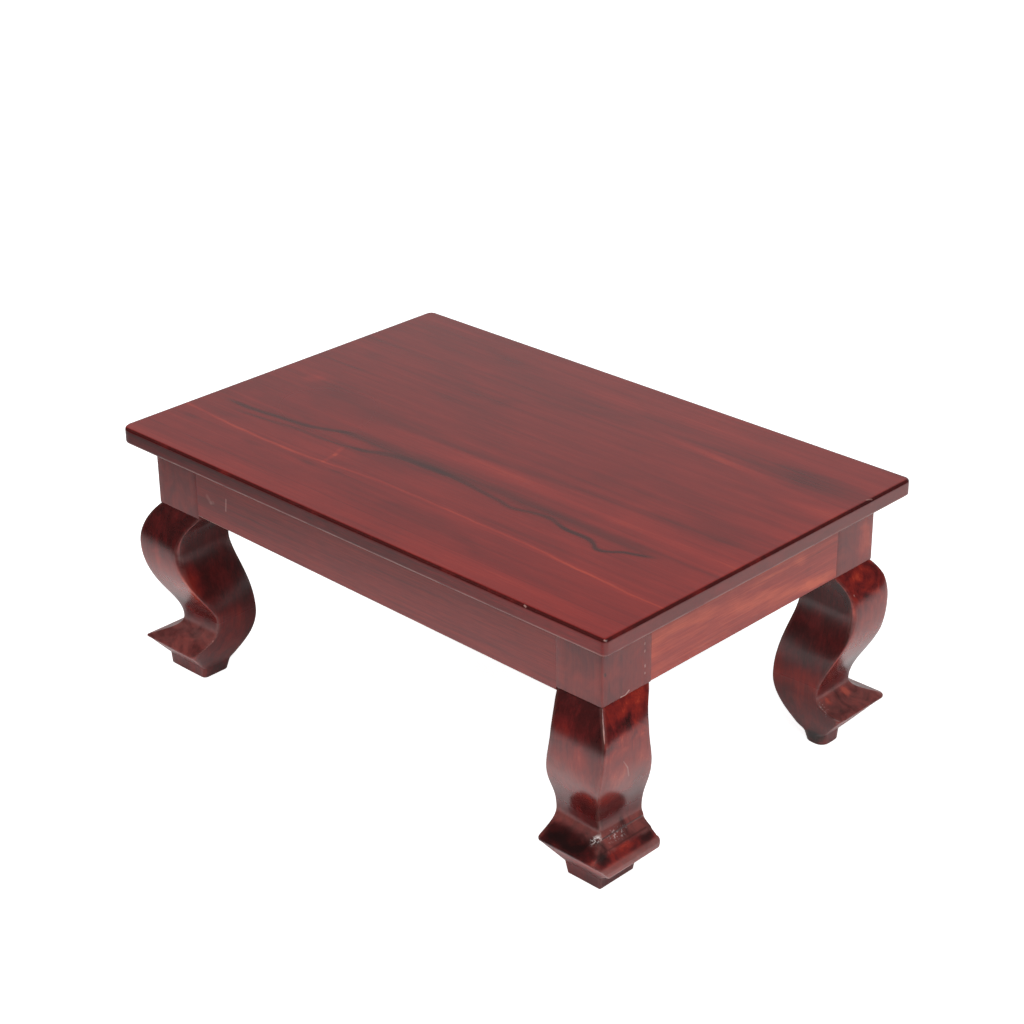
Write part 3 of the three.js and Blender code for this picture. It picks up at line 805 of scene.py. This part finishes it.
def polished_leg():
    """Darker polish on upright grain, redder and blotched on the knees that face right."""
    finish = Finish("polished_leg")
    x, _, z = finish.xyz
    wood = grain_of(finish, "z", None, (2.3, 0.7, 0))
    part = leg_parts(finish)
    blotch = finish.swing((15, 15, 20), 3, 0.6, 0.8, (4, 1, 2))
    mottle = finish.swing((13, 13, 13), 5, 0.65, 0.9, (2, 5, 1))
    finish.make_ragged((12, 12, 12), 9)
    upright = toned(0.0, *grained(wood, bands=0.26, streaks=0.28, fine=0.27, pores=0.20))
    calm = part["post"] * (x.rise_mm(0, -100) * 0.6 + 0.4)
    # The tone holds painted light: faces that look down at the floor are lighter, and some patches
    # are painted light and shade
    tone = toned(
        0.34, (upright, 1.0), (upright * calm, -0.65), (blotch, 0.5),
        ((part["red_knee"] + part["toe"]) * mottle, 1.1), (part["post"], 0.23),
        (part["red_knee"], 0.28), (part["floor_lit_undercut"], 0.33), (part["toe"], 0.18),
        (part["inner_calf"], 0.17), (part["post"] * x, 0.15),
        *[(finish.patch(*oval, 0.15), amount) for *oval, amount in LEG_PATCHES],
    )
    colour = worn_leg(finish, finish.ramp(tone, LEG_POLISH), part, mottle)
    return finish.finish(
        relief(finish, wood["fine"], (22, 22, 30)), 0.16, 0.03, Base_Color=colour,
        Roughness=toned(gloss(finish, 0.22, 40), (z.rise_mm(56, 44), 0.14)), IOR=POLISH_IOR,
    )


def bare_wood():
    """Unpolished sawn wood."""
    finish = Finish("bare_block_wood")
    wood = grain_of(finish, "z", None, (0, 0, 2))
    colour = finish.ramp(toned(0.5, *grained(wood, streaks=0.8, fine=0.8)), BARE_WOOD)
    return finish.finish(
        wood["fine"], 0.5, 0.2, Base_Color=colour, Roughness=0.78, IOR=POLISH_IOR,
    )


def screw_steel():
    """Steel with fine scratches."""
    finish = Finish("screw_steel")
    scratches = finish.noise((2, 2, 2), 5, 0.7)
    return finish.finish(
        scratches, 0.3, 0.05, Base_Color=finish.ramp(scratches, STEEL), Metallic=1.0,
        Roughness=scratches * 0.3 + 0.25, IOR=2.5,
    )


# Pieces

def add_piece(name, mesh, material, slot, *nodes, sharp=40):
    """A finished mesh becomes a piece that stands for CAD nodes."""
    mesh.name = name
    mesh.materials.clear()
    mesh.materials.append(material)
    mesh.shade_smooth()
    mesh.set_sharp_from_angle(angle=math.radians(sharp))
    piece = bpy.data.objects.new(name, mesh)
    bpy.context.scene.collection.objects.link(piece)
    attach(piece, "root")
    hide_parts(*nodes)


def evaluated(mesh, add_modifier):
    """A mesh after one modifier, which a function adds to the object that it's given."""
    worker = bpy.data.objects.new("worker", mesh)
    bpy.context.scene.collection.objects.link(worker)
    add_modifier(worker)
    graph = bpy.context.evaluated_depsgraph_get()
    result = bpy.data.meshes.new_from_object(worker.evaluated_get(graph))
    worker.modifiers.clear()
    bpy.data.objects.remove(worker)
    return result


def grown(mesh, tree, inputs):
    """A mesh after a Geometry Nodes tree, whose inputs are given by name."""
    def add_tree(worker):
        modifier = worker.modifiers.new("tree", "NODES")
        modifier.node_group = tree
        sockets = {
            item.name: item.identifier
            for item in tree.interface.items_tree
            if item.item_type == "SOCKET" and item.in_out == "INPUT"
        }
        for name, value in inputs.items():
            modifier[sockets[name]] = value

    return evaluated(mesh, add_tree)


def welded(mesh, distance):
    """Joins the vertices that lie on each other, and turns every face outwards."""
    work = bmesh.new()
    work.from_mesh(mesh)
    bmesh.ops.remove_doubles(work, verts=work.verts[:], dist=distance)
    bmesh.ops.recalc_face_normals(work, faces=work.faces[:])
    work.to_mesh(mesh)
    work.free()
    return mesh


def top_outline(inset):
    """The plan of the top, set in by this much, with its corners rounded."""
    corners = [
        ("right_rear", 1, 1), ("left_rear", -1, 1), ("left_front", -1, -1), ("right_front", 1, -1),
    ]
    arcs = []
    for quarter, (name, right, rear) in enumerate(corners):
        radius = TOP_CORNERS[name]
        reach = radius - inset
        angles = np.linspace(0, np.pi / 2, TOP_CORNER_POINTS) + quarter * np.pi / 2
        centre = np.array([right * (top_high.x - radius), rear * (top_high.y - radius)])
        arcs.append(centre + reach * np.stack([np.cos(angles), np.sin(angles)], 1))
    points = []
    for arc, following in zip(arcs, arcs[1:] + arcs[:1]):
        points.extend(arc)
        steps = int(np.linalg.norm(following[0] - arc[-1]) / TOP_SPACING)
        shares = np.arange(1, steps)[:, None] / steps
        points.extend(arc[-1] + (following[0] - arc[-1]) * shares)
    return points


def top_profile():
    """(inset, height) from the underside to the upper face, round both arrises."""
    profile = [(FACE_INSET, top_low.z), (FACE_INSET / 2, top_low.z)]
    for angle in np.linspace(0, np.pi / 2, LOWER_ARRIS_POINTS):
        profile.append((
            LOWER_ARRIS * (1 - math.sin(angle)), top_low.z + LOWER_ARRIS * (1 - math.cos(angle)),
        ))
    profile.append((0, top_low.z + 2 * LOWER_ARRIS))
    profile.append((0, top_high.z - 1.5 * UPPER_ARRIS))
    for angle in np.linspace(0, np.pi / 2, UPPER_ARRIS_POINTS):
        profile.append((
            UPPER_ARRIS * (1 - math.cos(angle)), top_high.z - UPPER_ARRIS * (1 - math.sin(angle)),
        ))
    profile.append((FACE_INSET, top_high.z))
    return profile


def top_slab():
    """The whole top as one closed mesh of rings."""
    mesh = bmesh.new()
    rings = []
    for inset, height in top_profile():
        outline = top_outline(inset)
        rings.append([mesh.verts.new((*point, height)) for point in outline])
    for lower, upper in zip(rings, rings[1:]):
        for i in range(len(lower)):
            j = (i + 1) % len(lower)
            mesh.faces.new((lower[i], lower[j], upper[j], upper[i]))
    mesh.faces.new(list(reversed(rings[0])))
    mesh.faces.new(rings[-1])
    return mesh


def top_board(name, front, rear, material):
    """One of the glued boards: the slab cut at the joints in front of it and behind it."""
    mesh = top_slab()
    for place, outwards in ((front, -1), (rear, 1)):
        if place is None:
            continue
        cut = bmesh.ops.bisect_plane(
            mesh, geom=mesh.verts[:] + mesh.edges[:] + mesh.faces[:], dist=1e-7,
            plane_co=(0, place, 0), plane_no=(0, outwards, 0), clear_outer=True,
        )
        edges = [e for e in cut["geom_cut"] if isinstance(e, bmesh.types.BMEdge)]
        bmesh.ops.edgeloop_fill(mesh, edges=edges)
    bmesh.ops.recalc_face_normals(mesh, faces=mesh.faces[:])
    board = bpy.data.meshes.new(name)
    mesh.to_mesh(board)
    mesh.free()
    add_piece(name, board, material, "top_wood", "top_" + name)


def curve_between(start, end, fullness):
    """A curve of a leg's outline, as the source draws it."""
    hold, lean = fullness
    start, end = np.array(start, float), np.array(end, float)
    across, up = end - start
    leaves = start + np.array([lean[0] * across, hold[0] * up])
    arrives = end - np.array([lean[1] * across, hold[1] * up])
    t = np.linspace(0, 1, CURVE_POINTS)[:, None]
    return (
        start * (1 - t) ** 3 + leaves * 3 * t * (1 - t) ** 2
        + arrives * 3 * t ** 2 * (1 - t) + end * t ** 3
    )


def outer_side(sizes):
    """Pad, toe, ankle, knee and post, from the floor up, as (distance, height)."""
    nose = sizes["toe_edge"] / 2
    angles = np.linspace(-np.pi / 2, np.pi / 2, TOE_POINTS)
    toe = (sizes["toe_proud"] - nose, sizes["toe_height"])
    ankle = (-sizes["ankle"], ANKLE_HEIGHT)
    knee = (sizes["knee"], sizes["knee_height"])
    return np.concatenate([
        [(sizes["pad_outer"] - PAD_SPLAY, 0), (sizes["pad_outer"], PAD_HEIGHT)],
        [(toe[0] + nose * math.cos(a), toe[1] - nose + nose * math.sin(a)) for a in angles],
        curve_between(toe, ankle, TOE_TO_ANKLE)[1:],
        curve_between(ankle, knee, ANKLE_TO_KNEE)[1:],
        curve_between(knee, (-TOP_INSET, POST_BOTTOM), KNEE_TO_POST)[1:],
        [(-0.2, POST_BOTTOM + 0.05), (0, POST_BOTTOM + 0.4), (0, POST_TOP)],
    ])


def inner_side(sizes):
    """Post, crook, heel and pad, turned to run from the floor up."""
    post = (-sizes["post"], POST_BOTTOM)
    crook = (-CROOK[0], CROOK[1])
    heel = (-HEEL[0], HEEL[1])
    pad = (sizes["pad_inner"] - PAD_HEEL_SLOPE, PAD_HEIGHT)
    downwards = np.concatenate([
        [(post[0], POST_TOP)],
        curve_between(post, crook, POST_TO_CROOK),
        curve_between(crook, heel, CROOK_TO_HEEL)[1:],
        curve_between(heel, pad, HEEL_TO_PAD)[1:],
        [(sizes["pad_inner"], 0)],
    ])
    return downwards[::-1]


def leg_levels(corner):
    """The heights at which a leg is measured, closer together where its outline turns fast."""
    heights = [
        np.arange(LEVEL_SPACING, POST_TOP - 1, LEVEL_SPACING),
        [0, 0.15, 0.5, PAD_HEIGHT - 0.4, PAD_HEIGHT, PAD_HEIGHT + 0.4, POST_TOP],
    ]
    for low, high, _ in corner.get("ledges", []):
        heights.append(np.linspace(low - 0.6, high + 3, LEDGE_LEVELS))
    for sizes in (corner["through_y"], corner["through_x"]):
        height, edge = sizes["toe_height"], sizes["toe_edge"]
        heights.append(height - edge / 2 - edge / 2 * np.cos(np.linspace(0, np.pi, NOSE_LEVELS)))
        heights.append(height + np.linspace(0, 1, INSTEP_LEVELS) ** 1.6 * 8)
    heights.append(POST_BOTTOM + np.array([-0.3, 0, 0.05, 0.4, 0.8]))
    levels = np.unique(np.concatenate(heights).round(3))
    return levels[np.concatenate([[True], np.diff(levels) > LEAST_SPACING])]


def leg_limits(corner, levels):
    """The lowest and highest X and Y of a leg at each level, in mm."""
    through_y, through_x = corner["through_y"], corner["through_x"]
    low, high = [], []
    bevel = PAD_FOOT_BEVEL * np.clip(1 - levels / PAD_FOOT_BEVEL, 0, 1) ** 2
    for face, sizes in ((frame_half_x / MM, through_y), (frame_half_y / MM, through_x)):
        outer, inner = outer_side(sizes), inner_side(sizes)
        high.append(face + np.interp(levels, outer[:, 1], outer[:, 0]) - bevel)
        low.append(face + np.interp(levels, inner[:, 1], inner[:, 0]) + bevel)
    for start, end, proud in corner.get("ledges", []):
        places = [start - 0.5, start + 0.8, end, end + 2.8]
        high[0] += proud * np.interp(levels, places, [0, 1, 0.85, 0])
    furthest = frame_half_x / MM + max(through_y["toe_proud"], through_y["knee"])
    high[0] = np.minimum(high[0], furthest)
    return low, high


def leg_lean(corner, levels):
    """How far one arris of a leg leans off the square in X and in Y, at each level, in mm."""
    which, moves = corner.get("lean", ((1, 1), [(0, 0, 0), (1, 0, 0)]))
    even = np.arange(0, POST_TOP, LEAN_STEP)
    window = np.hanning(LEAN_SMOOTHING) / np.hanning(LEAN_SMOOTHING).sum()
    heights, *moved = np.array(moves).T
    smooth = [np.convolve(np.interp(even, heights, move), window, "same") for move in moved]
    return which, [np.interp(levels, even, move) for move in smooth]


def leg_section(leaning):
    """
    The square section as a ring of points. Each has its share of the way from low to high in X and
    Y, the direction that its corner is rounded in, which radius it takes, how much of the lean, and
    whether it is on an arris.
    """
    corners = [((1, 1), (1, 0, 0)), ((0, 1), (0, 0, 1)), ((0, 0), (0, 0, 0)), ((1, 0), (0, 1, 0))]
    ring = []
    for quarter, (at, radius) in enumerate(corners):
        next_at, next_radius = corners[(quarter + 1) % 4]
        leans, next_leans = float(at == leaning), float(next_at == leaning)
        at, next_at = np.array((*at, 0)), np.array((*next_at, 0))
        radius, next_radius = np.array(radius), np.array(next_radius)
        for angle in np.linspace(0, np.pi / 2, CORNER_POINTS) + quarter * np.pi / 2:
            turn = (math.cos(angle), math.sin(angle), 0)
            ring.append((at, turn, radius, leans, 1.0))
        for step in np.arange(1, SIDE_POINTS) / SIDE_POINTS:
            ring.append((
                at * (1 - step) + next_at * step, turn,
                radius * (1 - step) + next_radius * step,
                leans * (1 - step) + next_leans * step, 0.0,
            ))
    return [np.array(values) for values in zip(*ring)]


def leg_measures(corner):
    """A mesh that holds a leg's measures: one point per level, and one ring of its section."""
    levels = leg_levels(corner)
    low, high = leg_limits(corner, levels)
    leaning, lean = leg_lean(corner, levels)
    share, turn, which, leans, arris = leg_section(leaning)
    recess_x = frame_half_x / MM + corner["through_y"]["toe_proud"] - high[0]
    recess_y = frame_half_y / MM + corner["through_x"]["toe_proud"] - high[1]
    fade = np.clip((POST_BOTTOM - levels) / 12, 0, 1)
    eased = np.where(levels < POST_BOTTOM, 1, 0.1)
    eased *= np.interp(levels, [PAD_HEIGHT - 1, PAD_HEIGHT + 4], [corner.get("pad_corner", 1), 1])

    rungs, ring = len(levels), len(share)
    mesh = bpy.data.meshes.new("leg_measures")
    positions = [(0, 0, z * MM) for z in levels]
    positions += [(0.01 * x, 0.01 * y, 0) for x, y, _ in turn]
    edges = [(i, i + 1) for i in range(rungs - 1)]
    edges += [(rungs + i, rungs + (i + 1) % ring) for i in range(ring)]
    mesh.from_pydata(positions, edges, [])

    def write(name, kind, field, of_levels, of_ring):
        values = np.concatenate([of_levels, of_ring]).astype(np.float32)
        mesh.attributes.new(name, kind, "POINT").data.foreach_set(field, values.ravel())

    blank = np.zeros((ring, 3))
    for name, measures in (
        ("low", [*low, levels]), ("high", [*high, levels]), ("lean", [*lean, 0 * levels]),
        ("recess", [np.maximum(recess_x, recess_y), recess_x, recess_y]),
    ):
        write(name, "FLOAT_VECTOR", "vector", np.stack(measures, 1) * MM, blank)
    for name, values in (("share", share), ("turn", turn), ("which", which)):
        write(name, "FLOAT_VECTOR", "vector", np.zeros((rungs, 3)), values)
    for name, values in (("fade", fade), ("eased", eased)):
        write(name, "FLOAT", "value", values, np.zeros(ring))
    for name, values in (("leans", leans), ("arris", arris)):
        write(name, "FLOAT", "value", np.zeros(rungs), values)
    in_section = mesh.attributes.new("is_section", "BOOLEAN", "POINT")
    in_section.data.foreach_set("value", [False] * rungs + [True] * ring)
    return mesh


def new_tree(name, inputs):
    """A Geometry Nodes tree with a geometry going through it, and named inputs."""
    tree = bpy.data.node_groups.new(name, "GeometryNodeTree")
    tree.interface.new_socket("Geometry", in_out="OUTPUT", socket_type="NodeSocketGeometry")
    for label, kind in [("Geometry", "Geometry"), *inputs]:
        tree.interface.new_socket(label, in_out="INPUT", socket_type="NodeSocket" + kind)
    graph = Graph(tree)
    return graph, graph.given("NodeGroupInput")


def close_tree(graph, geometry, material):
    """Ends a tree in its instances made real, and their material."""
    realized = graph("GeometryNodeRealizeInstances", geometry)
    graph.end("NodeGroupOutput", graph("GeometryNodeSetMaterial", realized, None, material))
    return graph.tree


def cut_away(graph, solid, *cutters):
    """One solid less others."""
    inputs = [("Mesh 1", solid), *[("Mesh 2", cutter) for cutter in cutters]]
    return graph.by_name("GeometryNodeMeshBoolean", inputs, operation="DIFFERENCE")


def leg_tree():
    """Sweeps the section up the levels, rounds its corners, and chops the two mortises."""
    graph, given = new_tree("sawn_leg", [
        ("Arris", "Float"), ("Toe Corner", "Float"), ("Toe End", "Float"),
        ("Unevenness", "Float"), ("Seed", "Float"),
        ("Long Mortise Size", "Vector"), ("Long Mortise Centre", "Vector"),
        ("Short Mortise Size", "Vector"), ("Short Mortise Centre", "Vector"),
        ("Material", "Material"),
    ])

    def stored(name, kind="FLOAT_VECTOR"):
        return graph("GeometryNodeInputNamedAttribute", name, data_type=kind)

    is_section = stored("is_section", "BOOLEAN")
    section = graph("GeometryNodeSeparateGeometry", given["Geometry"], is_section)
    ladder = graph("GeometryNodeSeparateGeometry", given["Geometry"], is_section, pick=1)
    for name in ("share", "turn", "which", "leans", "arris"):
        ladder = graph("GeometryNodeRemoveAttribute", ladder, name)
    sweep = graph.by_name("GeometryNodeCurveToMesh", [
        ("Curve", graph("GeometryNodeMeshToCurve", ladder)),
        ("Profile Curve", graph("GeometryNodeMeshToCurve", section)), ("Fill Caps", True),
    ])

    sizes = graph.combined(given["Toe Corner"], given["Toe End"], given["Toe End"])
    radii = (sizes - stored("recess")).at_least(graph.combined(given["Arris"]))
    least = given["Arris"] * stored("eased", "FLOAT")
    radius = radii.dot(stored("which")).at_least(least)
    inset = graph.combined(radius, radius)
    within = graph("ShaderNodeMix", stored("share"), stored("low") + inset, stored("high") - inset,
                   data_type="VECTOR", factor_mode="NON_UNIFORM")
    leans = graph.combined(*[stored("leans", "FLOAT")] * 3)
    place = within + stored("turn") * inset + stored("lean") * leans

    seeded = place + graph.combined(given["Seed"])
    waves = (UNEVEN_WAVES_PER_METRE, 1.0, 0.5, 2.0, 0.0)
    hand = graph("ShaderNodeTexNoise", seeded, *waves, pick=1) - (0.5, 0.5, 0.5)
    wander = given["Unevenness"] * stored("fade", "FLOAT")
    uneven = place + hand * graph.combined(wander, wander)
    shaped = graph("GeometryNodeSetPosition", sweep, None, uneven)

    cutters = []
    for which in ("Long", "Short"):
        cube = graph("GeometryNodeMeshCube", given[which + " Mortise Size"])
        cutters.append(graph.by_name("GeometryNodeTransform", [
            ("Geometry", cube), ("Translation", given[which + " Mortise Centre"]),
        ]))
    return close_tree(graph, cut_away(graph, shaped, *cutters), given["Material"])


def mortises(corner):
    """The size and centre of the two mortises of a leg at +X +Y."""
    found = {}
    half = (frame_half_x / MM, frame_half_y / MM)
    posts = (corner["through_y"]["post"], corner["through_x"]["post"])
    bottom = POST_BOTTOM + TENON_LOWER_SHOULDER - TENON_FIT
    top = POST_TOP - TENON_TOP_HAUNCH + TENON_FIT
    for label, axis in (("Long", 0), ("Short", 1)):
        deep = posts[axis] - TENON_SETBACK - TENON_THICKNESS - MORTISE_WALL
        low, high = Vector((0, 0, bottom)), Vector((0, 0, top))
        low[axis] = half[axis] - posts[axis] - MORTISE_OVERRUN
        high[axis] = half[axis] - posts[axis] + deep
        low[1 - axis] = half[1 - axis] - TENON_SETBACK - TENON_THICKNESS - TENON_FIT
        high[1 - axis] = half[1 - axis] - TENON_SETBACK + TENON_FIT
        found[label + " Mortise Size"] = (high - low) * MM
        found[label + " Mortise Centre"] = (high + low) * MM / 2
    return found


def cabriole_leg(place, corner, tree, material, seed):
    """A leg with its post, swept from its measures and turned to its corner."""
    inputs = dict(
        mortises(corner), Arris=LEG_ARRIS * MM, Unevenness=UNEVENNESS * MM, Seed=seed,
        Material=material,
    )
    inputs["Toe Corner"] = corner["toe_corner"] * MM
    inputs["Toe End"] = corner["toe_end"] * MM
    leg = grown(leg_measures(corner), tree, inputs)
    leg.transform(Matrix.Diagonal((*corner["side"], 1, 1)))
    add_piece(place + "_cabriole_leg", welded(leg, 1e-6), material, "leg_wood", place + "_leg")


def corner_block(place, material):
    """The notched block with its sawn edges eased."""
    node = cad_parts[place + "_corner_block"]
    mesh = bmesh.new()
    mesh.from_mesh(node.data)
    bmesh.ops.remove_doubles(mesh, verts=mesh.verts[:], dist=1e-6)
    bmesh.ops.dissolve_limit(
        mesh, angle_limit=math.radians(1), verts=mesh.verts[:], edges=mesh.edges[:],
    )
    block = bpy.data.meshes.new("block")
    mesh.to_mesh(block)
    mesh.free()

    def add_bevel(worker):
        bevel = worker.modifiers.new("eased", "BEVEL")
        bevel.width = BLOCK_ARRIS
        bevel.segments = 2
        bevel.limit_method = "ANGLE"
        bevel.angle_limit = math.radians(50)

    eased = evaluated(block, add_bevel)
    add_piece(place + "_notched_block", eased, material, "block_wood", node.name)


def screw_tree():
    """Slotted countersunk wood screws, one at each point, along its axis attribute."""
    lengths = [(label, "Float") for label in ("Length", *SCREW)]
    graph, given = new_tree("wood_screw", [*lengths, ("Seed", "Int"), ("Material", "Material")])
    grid = graph("GeometryNodeMeshGrid", 1.0, 1.0, SCREW_SIDES + 1, SCREW_RINGS + 1)
    across, along, _ = graph("GeometryNodeInputPosition").parts()
    share = across + 0.5
    ring = (along + 0.5) * SCREW_RINGS
    height = ((ring - 1.0) / (SCREW_RINGS - 1)).at_least(0.0) * given["Length"]

    def ramped(low, high, start, end):
        """From start to end between two heights."""
        return graph("ShaderNodeMapRange", height, low, high, start, end)

    head_height, pitch = given["Head Height"], given["Thread Pitch"]
    shank = given["Shank Diameter"] * 0.5
    head = ramped(given["Head Rim"], head_height, given["Head Diameter"] * 0.5, shank)
    point = ramped(given["Length"] - given["Point Length"], given["Length"], shank, 0.0)
    wave = (height / pitch - share).calc("FRACT")
    valley = abs(wave - 0.5).rise(0.12, 0.42)
    thread_start = head_height + pitch
    threaded = ramped(thread_start, thread_start + pitch, 0.0, 1.0)
    depth = given["Thread Depth"] * (valley * threaded)
    body = point - depth.at_most(point * 0.5)
    radius = graph("ShaderNodeMix", height > head_height, head, body, data_type="FLOAT")
    radius *= ring > 0.5
    angle = share * (2 * math.pi)
    wrapped = graph.combined(radius * angle.calc("COSINE"), radius * angle.calc("SINE"), height)
    tube = graph("GeometryNodeSetPosition", grid, None, wrapped)
    tube = graph("GeometryNodeMergeByDistance", tube, None, 1e-6)
    slot = graph.combined(
        given["Head Diameter"] * 2.0, given["Slot Width"], given["Slot Depth"] * 2.0,
    )
    slotted = cut_away(graph, tube, graph("GeometryNodeMeshCube", slot))

    axis = graph("GeometryNodeInputNamedAttribute", "axis", data_type="FLOAT_VECTOR")
    aligned = graph("FunctionNodeAlignRotationToVector", None, 1.0, axis, axis="Z")
    driven = graph(
        "FunctionNodeRandomValue", 0.0, math.pi, None, given["Seed"], data_type="FLOAT",
    )
    turn = graph.combined(0.0, 0.0, driven)
    turned = graph("FunctionNodeRotateRotation", aligned, turn, rotation_space="LOCAL")
    placed = graph.by_name("GeometryNodeInstanceOnPoints", [
        ("Points", given["Geometry"]), ("Instance", slotted), ("Rotation", turned),
    ])
    return close_tree(graph, placed, given["Material"])


def wood_screws(name, kinds, tree, material, seed):
    """One piece for all the screws of a length, each where its CAD node is."""
    heads, axes, nodes = [], [], []
    for kind, axis in kinds:
        for place, corner in LEGS.items():
            node = f"{place}_screw_into_{kind}"
            low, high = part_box(node)
            direction = 1 if axis == 2 else corner["side"][axis]
            head = (low + high) / 2
            head[axis] = low[axis] if direction > 0 else high[axis]
            length = high[axis] - low[axis]
            heads.append(head)
            axes.append([direction * float(i == axis) for i in range(3)])
            nodes.append(node)
    points = bpy.data.meshes.new(name)
    points.from_pydata(heads, [], [])
    attribute = points.attributes.new("axis", "FLOAT_VECTOR", "POINT")
    attribute.data.foreach_set("vector", np.array(axes, dtype=np.float32).ravel())
    inputs = {label: size * MM for label, size in SCREW.items()}
    inputs.update(Length=length, Seed=seed, Material=material)
    screws = welded(grown(points, tree, inputs), 1e-7)
    add_piece(name, screws, material, "screw_steel", *nodes, sharp=35)


# Making

top = polished_top()
front_apron = polished_apron(
    "polished_front_apron", "x", LONG_APRON_POLISH, shift=(0, 5, 0), tone=0.60, cloudiness=0.35,
    figure=front_apron_figure, pale_marks=front_apron_wear_and_sheen,
)
rear_apron = polished_apron(
    "polished_rear_apron", "x", LONG_APRON_POLISH, shift=(2, 1, 4), tone=0.5, cloudiness=0.4,
)
short_apron = polished_apron(
    "polished_short_apron", "y", SHORT_APRON_POLISH, shift=(0, 0, 7), tone=0.29, cloudiness=0.6,
    figure=short_apron_figure,
)
leg_polish = polished_leg()
block_wood = bare_wood()
steel = screw_steel()

top_board("front_strip", None, front_joint, top)
top_board("middle_board", front_joint, rear_joint, top)
top_board("rear_board", rear_joint, None, top)

for name, material in (
    ("front_apron", front_apron), ("rear_apron", rear_apron),
    ("right_apron", short_apron), ("left_apron", short_apron),
):
    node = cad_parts[name]
    node.data.materials[0] = material

sawn_leg = leg_tree()
for number, (place, corner) in enumerate(LEGS.items()):
    cabriole_leg(place, corner, sawn_leg, leg_polish, 3.0 * number)
    corner_block(place, block_wood)

wood_screw = screw_tree()
wood_screws("apron_screws", (("long_apron", 1), ("short_apron", 0)), wood_screw, steel, 3)
wood_screws("top_screws", (("top", 2),), wood_screw, steel, 8)


# Floor, light and camera

def floor():
    """A plain white floor, white to the eye and in reflections near the table, with its shadow."""
    mesh = bpy.data.meshes.new("floor")
    reach = FLOOR_REACH
    corners = [(-reach, -reach, 0), (reach, -reach, 0), (reach, reach, 0), (-reach, reach, 0)]
    mesh.from_pydata(corners, [], [(0, 1, 2, 3)])
    plane = bpy.data.objects.new("floor", mesh)
    bpy.context.scene.collection.objects.link(plane)
    finish = Finish("white_floor")
    x, y, _ = finish.xyz
    path = finish.given("ShaderNodeLightPath")
    mirrored = path["Is Glossy Ray"].at_least(path["Is Transmission Ray"])
    # In reflections the floor is painted as a pool of light near the table, fading in front and to
    # the right, dimmer to the left
    to_the_left = (x + 0.1).at_most(0.0) * 0.8 + 1.0
    lit = (x * 0.15 + y).rise(-0.62, -0.30) * x.rise(0.85, 0.45) * to_the_left
    # Painted shadow: in reflections the floor is darker under the table
    under = abs(x).rise(0.26, 0.16) * abs(y).rise(0.18, 0.08)
    reflected = lit * (under * -0.45 + 1.45)
    paint = finish("ShaderNodeMix", mirrored, FLOOR_WHITE, reflected, data_type="FLOAT")
    glow = finish("ShaderNodeEmission", (1, 1, 1, 1), path["Is Camera Ray"] * FLOOR_GLOW)
    both = finish("ShaderNodeAddShader", glow, finish("ShaderNodeBsdfDiffuse", paint))
    finish.end("ShaderNodeOutputMaterial", both)
    mesh.materials.append(finish.material)


def surroundings():
    """An even soft light, and in reflections a white sweep behind the table in a darker room."""
    world = bpy.data.worlds.new("studio")
    bpy.context.scene.world = world
    world.use_nodes = True
    graph = Graph(world.node_tree)
    graph.tree.nodes.clear()
    path = graph.given("ShaderNodeLightPath")
    direction = graph.given("ShaderNodeTexCoord")["Generated"]
    backwards = direction.dot(SWEEP_DIRECTION)
    sweep = direction.parts()[2].rise(0.68, 0.32) * backwards.rise(0.52, 0.96)
    glossy = sweep * SWEEP_GLOW + ROOM_GLOW
    strength = graph("ShaderNodeMix", path["Is Glossy Ray"], SOFT_LIGHT, glossy, data_type="FLOAT")
    strength = graph("ShaderNodeMix", path["Is Camera Ray"], strength, 1.0, data_type="FLOAT")
    graph.end("ShaderNodeOutputWorld", graph("ShaderNodeBackground", (1, 1, 1, 1), strength))


def softbox(name, place, size, power, mirrored):
    """A square lamp that looks at the table."""
    lamp = bpy.data.lights.new(name, "AREA")
    lamp.shape = "RECTANGLE"
    lamp.size = lamp.size_y = size
    lamp.energy = power
    holder = bpy.data.objects.new(name, lamp)
    holder.location = place
    holder.visible_glossy = mirrored
    aim = Vector((0, 0, 0.1)) - Vector(place)
    holder.rotation_euler = aim.to_track_quat("-Z", "Y").to_euler()
    bpy.context.scene.collection.objects.link(holder)


def camera():
    """The photograph's view, solved from the table's own edges. Angles in radians."""
    azimuth, elevation, roll = 0.7716, 0.4511, -0.0106
    distance, right_shift, up_shift = 1.69826, 0.00284, 0.134885
    focal_pixels, image_pixels = 2363.2, 1024
    back = Vector((
        math.sin(azimuth) * math.cos(elevation),
        -math.cos(azimuth) * math.cos(elevation),
        math.sin(elevation),
    ))
    right = Vector((math.cos(azimuth), math.sin(azimuth), 0))
    up = back.cross(right)
    rolled_right = right * math.cos(roll) + up * math.sin(roll)
    rolled_up = up * math.cos(roll) - right * math.sin(roll)
    place = back * distance + rolled_right * right_shift + rolled_up * up_shift
    lens = bpy.data.cameras.new("camera")
    lens.sensor_width = 36
    lens.lens = focal_pixels * lens.sensor_width / image_pixels
    eye = bpy.data.objects.new("camera", lens)
    columns = (rolled_right, rolled_up, back, place)
    rows = [[column[i] for column in columns] for i in range(3)]
    eye.matrix_world = Matrix([*rows, (0, 0, 0, 1)])
    bpy.context.scene.collection.objects.link(eye)
    bpy.context.scene.camera = eye


floor()
surroundings()
softbox("key", (1.3, -0.5, 1.3), size=1.0, power=17.5, mirrored=True)
softbox("fill", (-1.2, -1.2, 1.4), size=1.2, power=18, mirrored=False)
camera()
bpy.context.scene.view_settings.view_transform = "Standard"
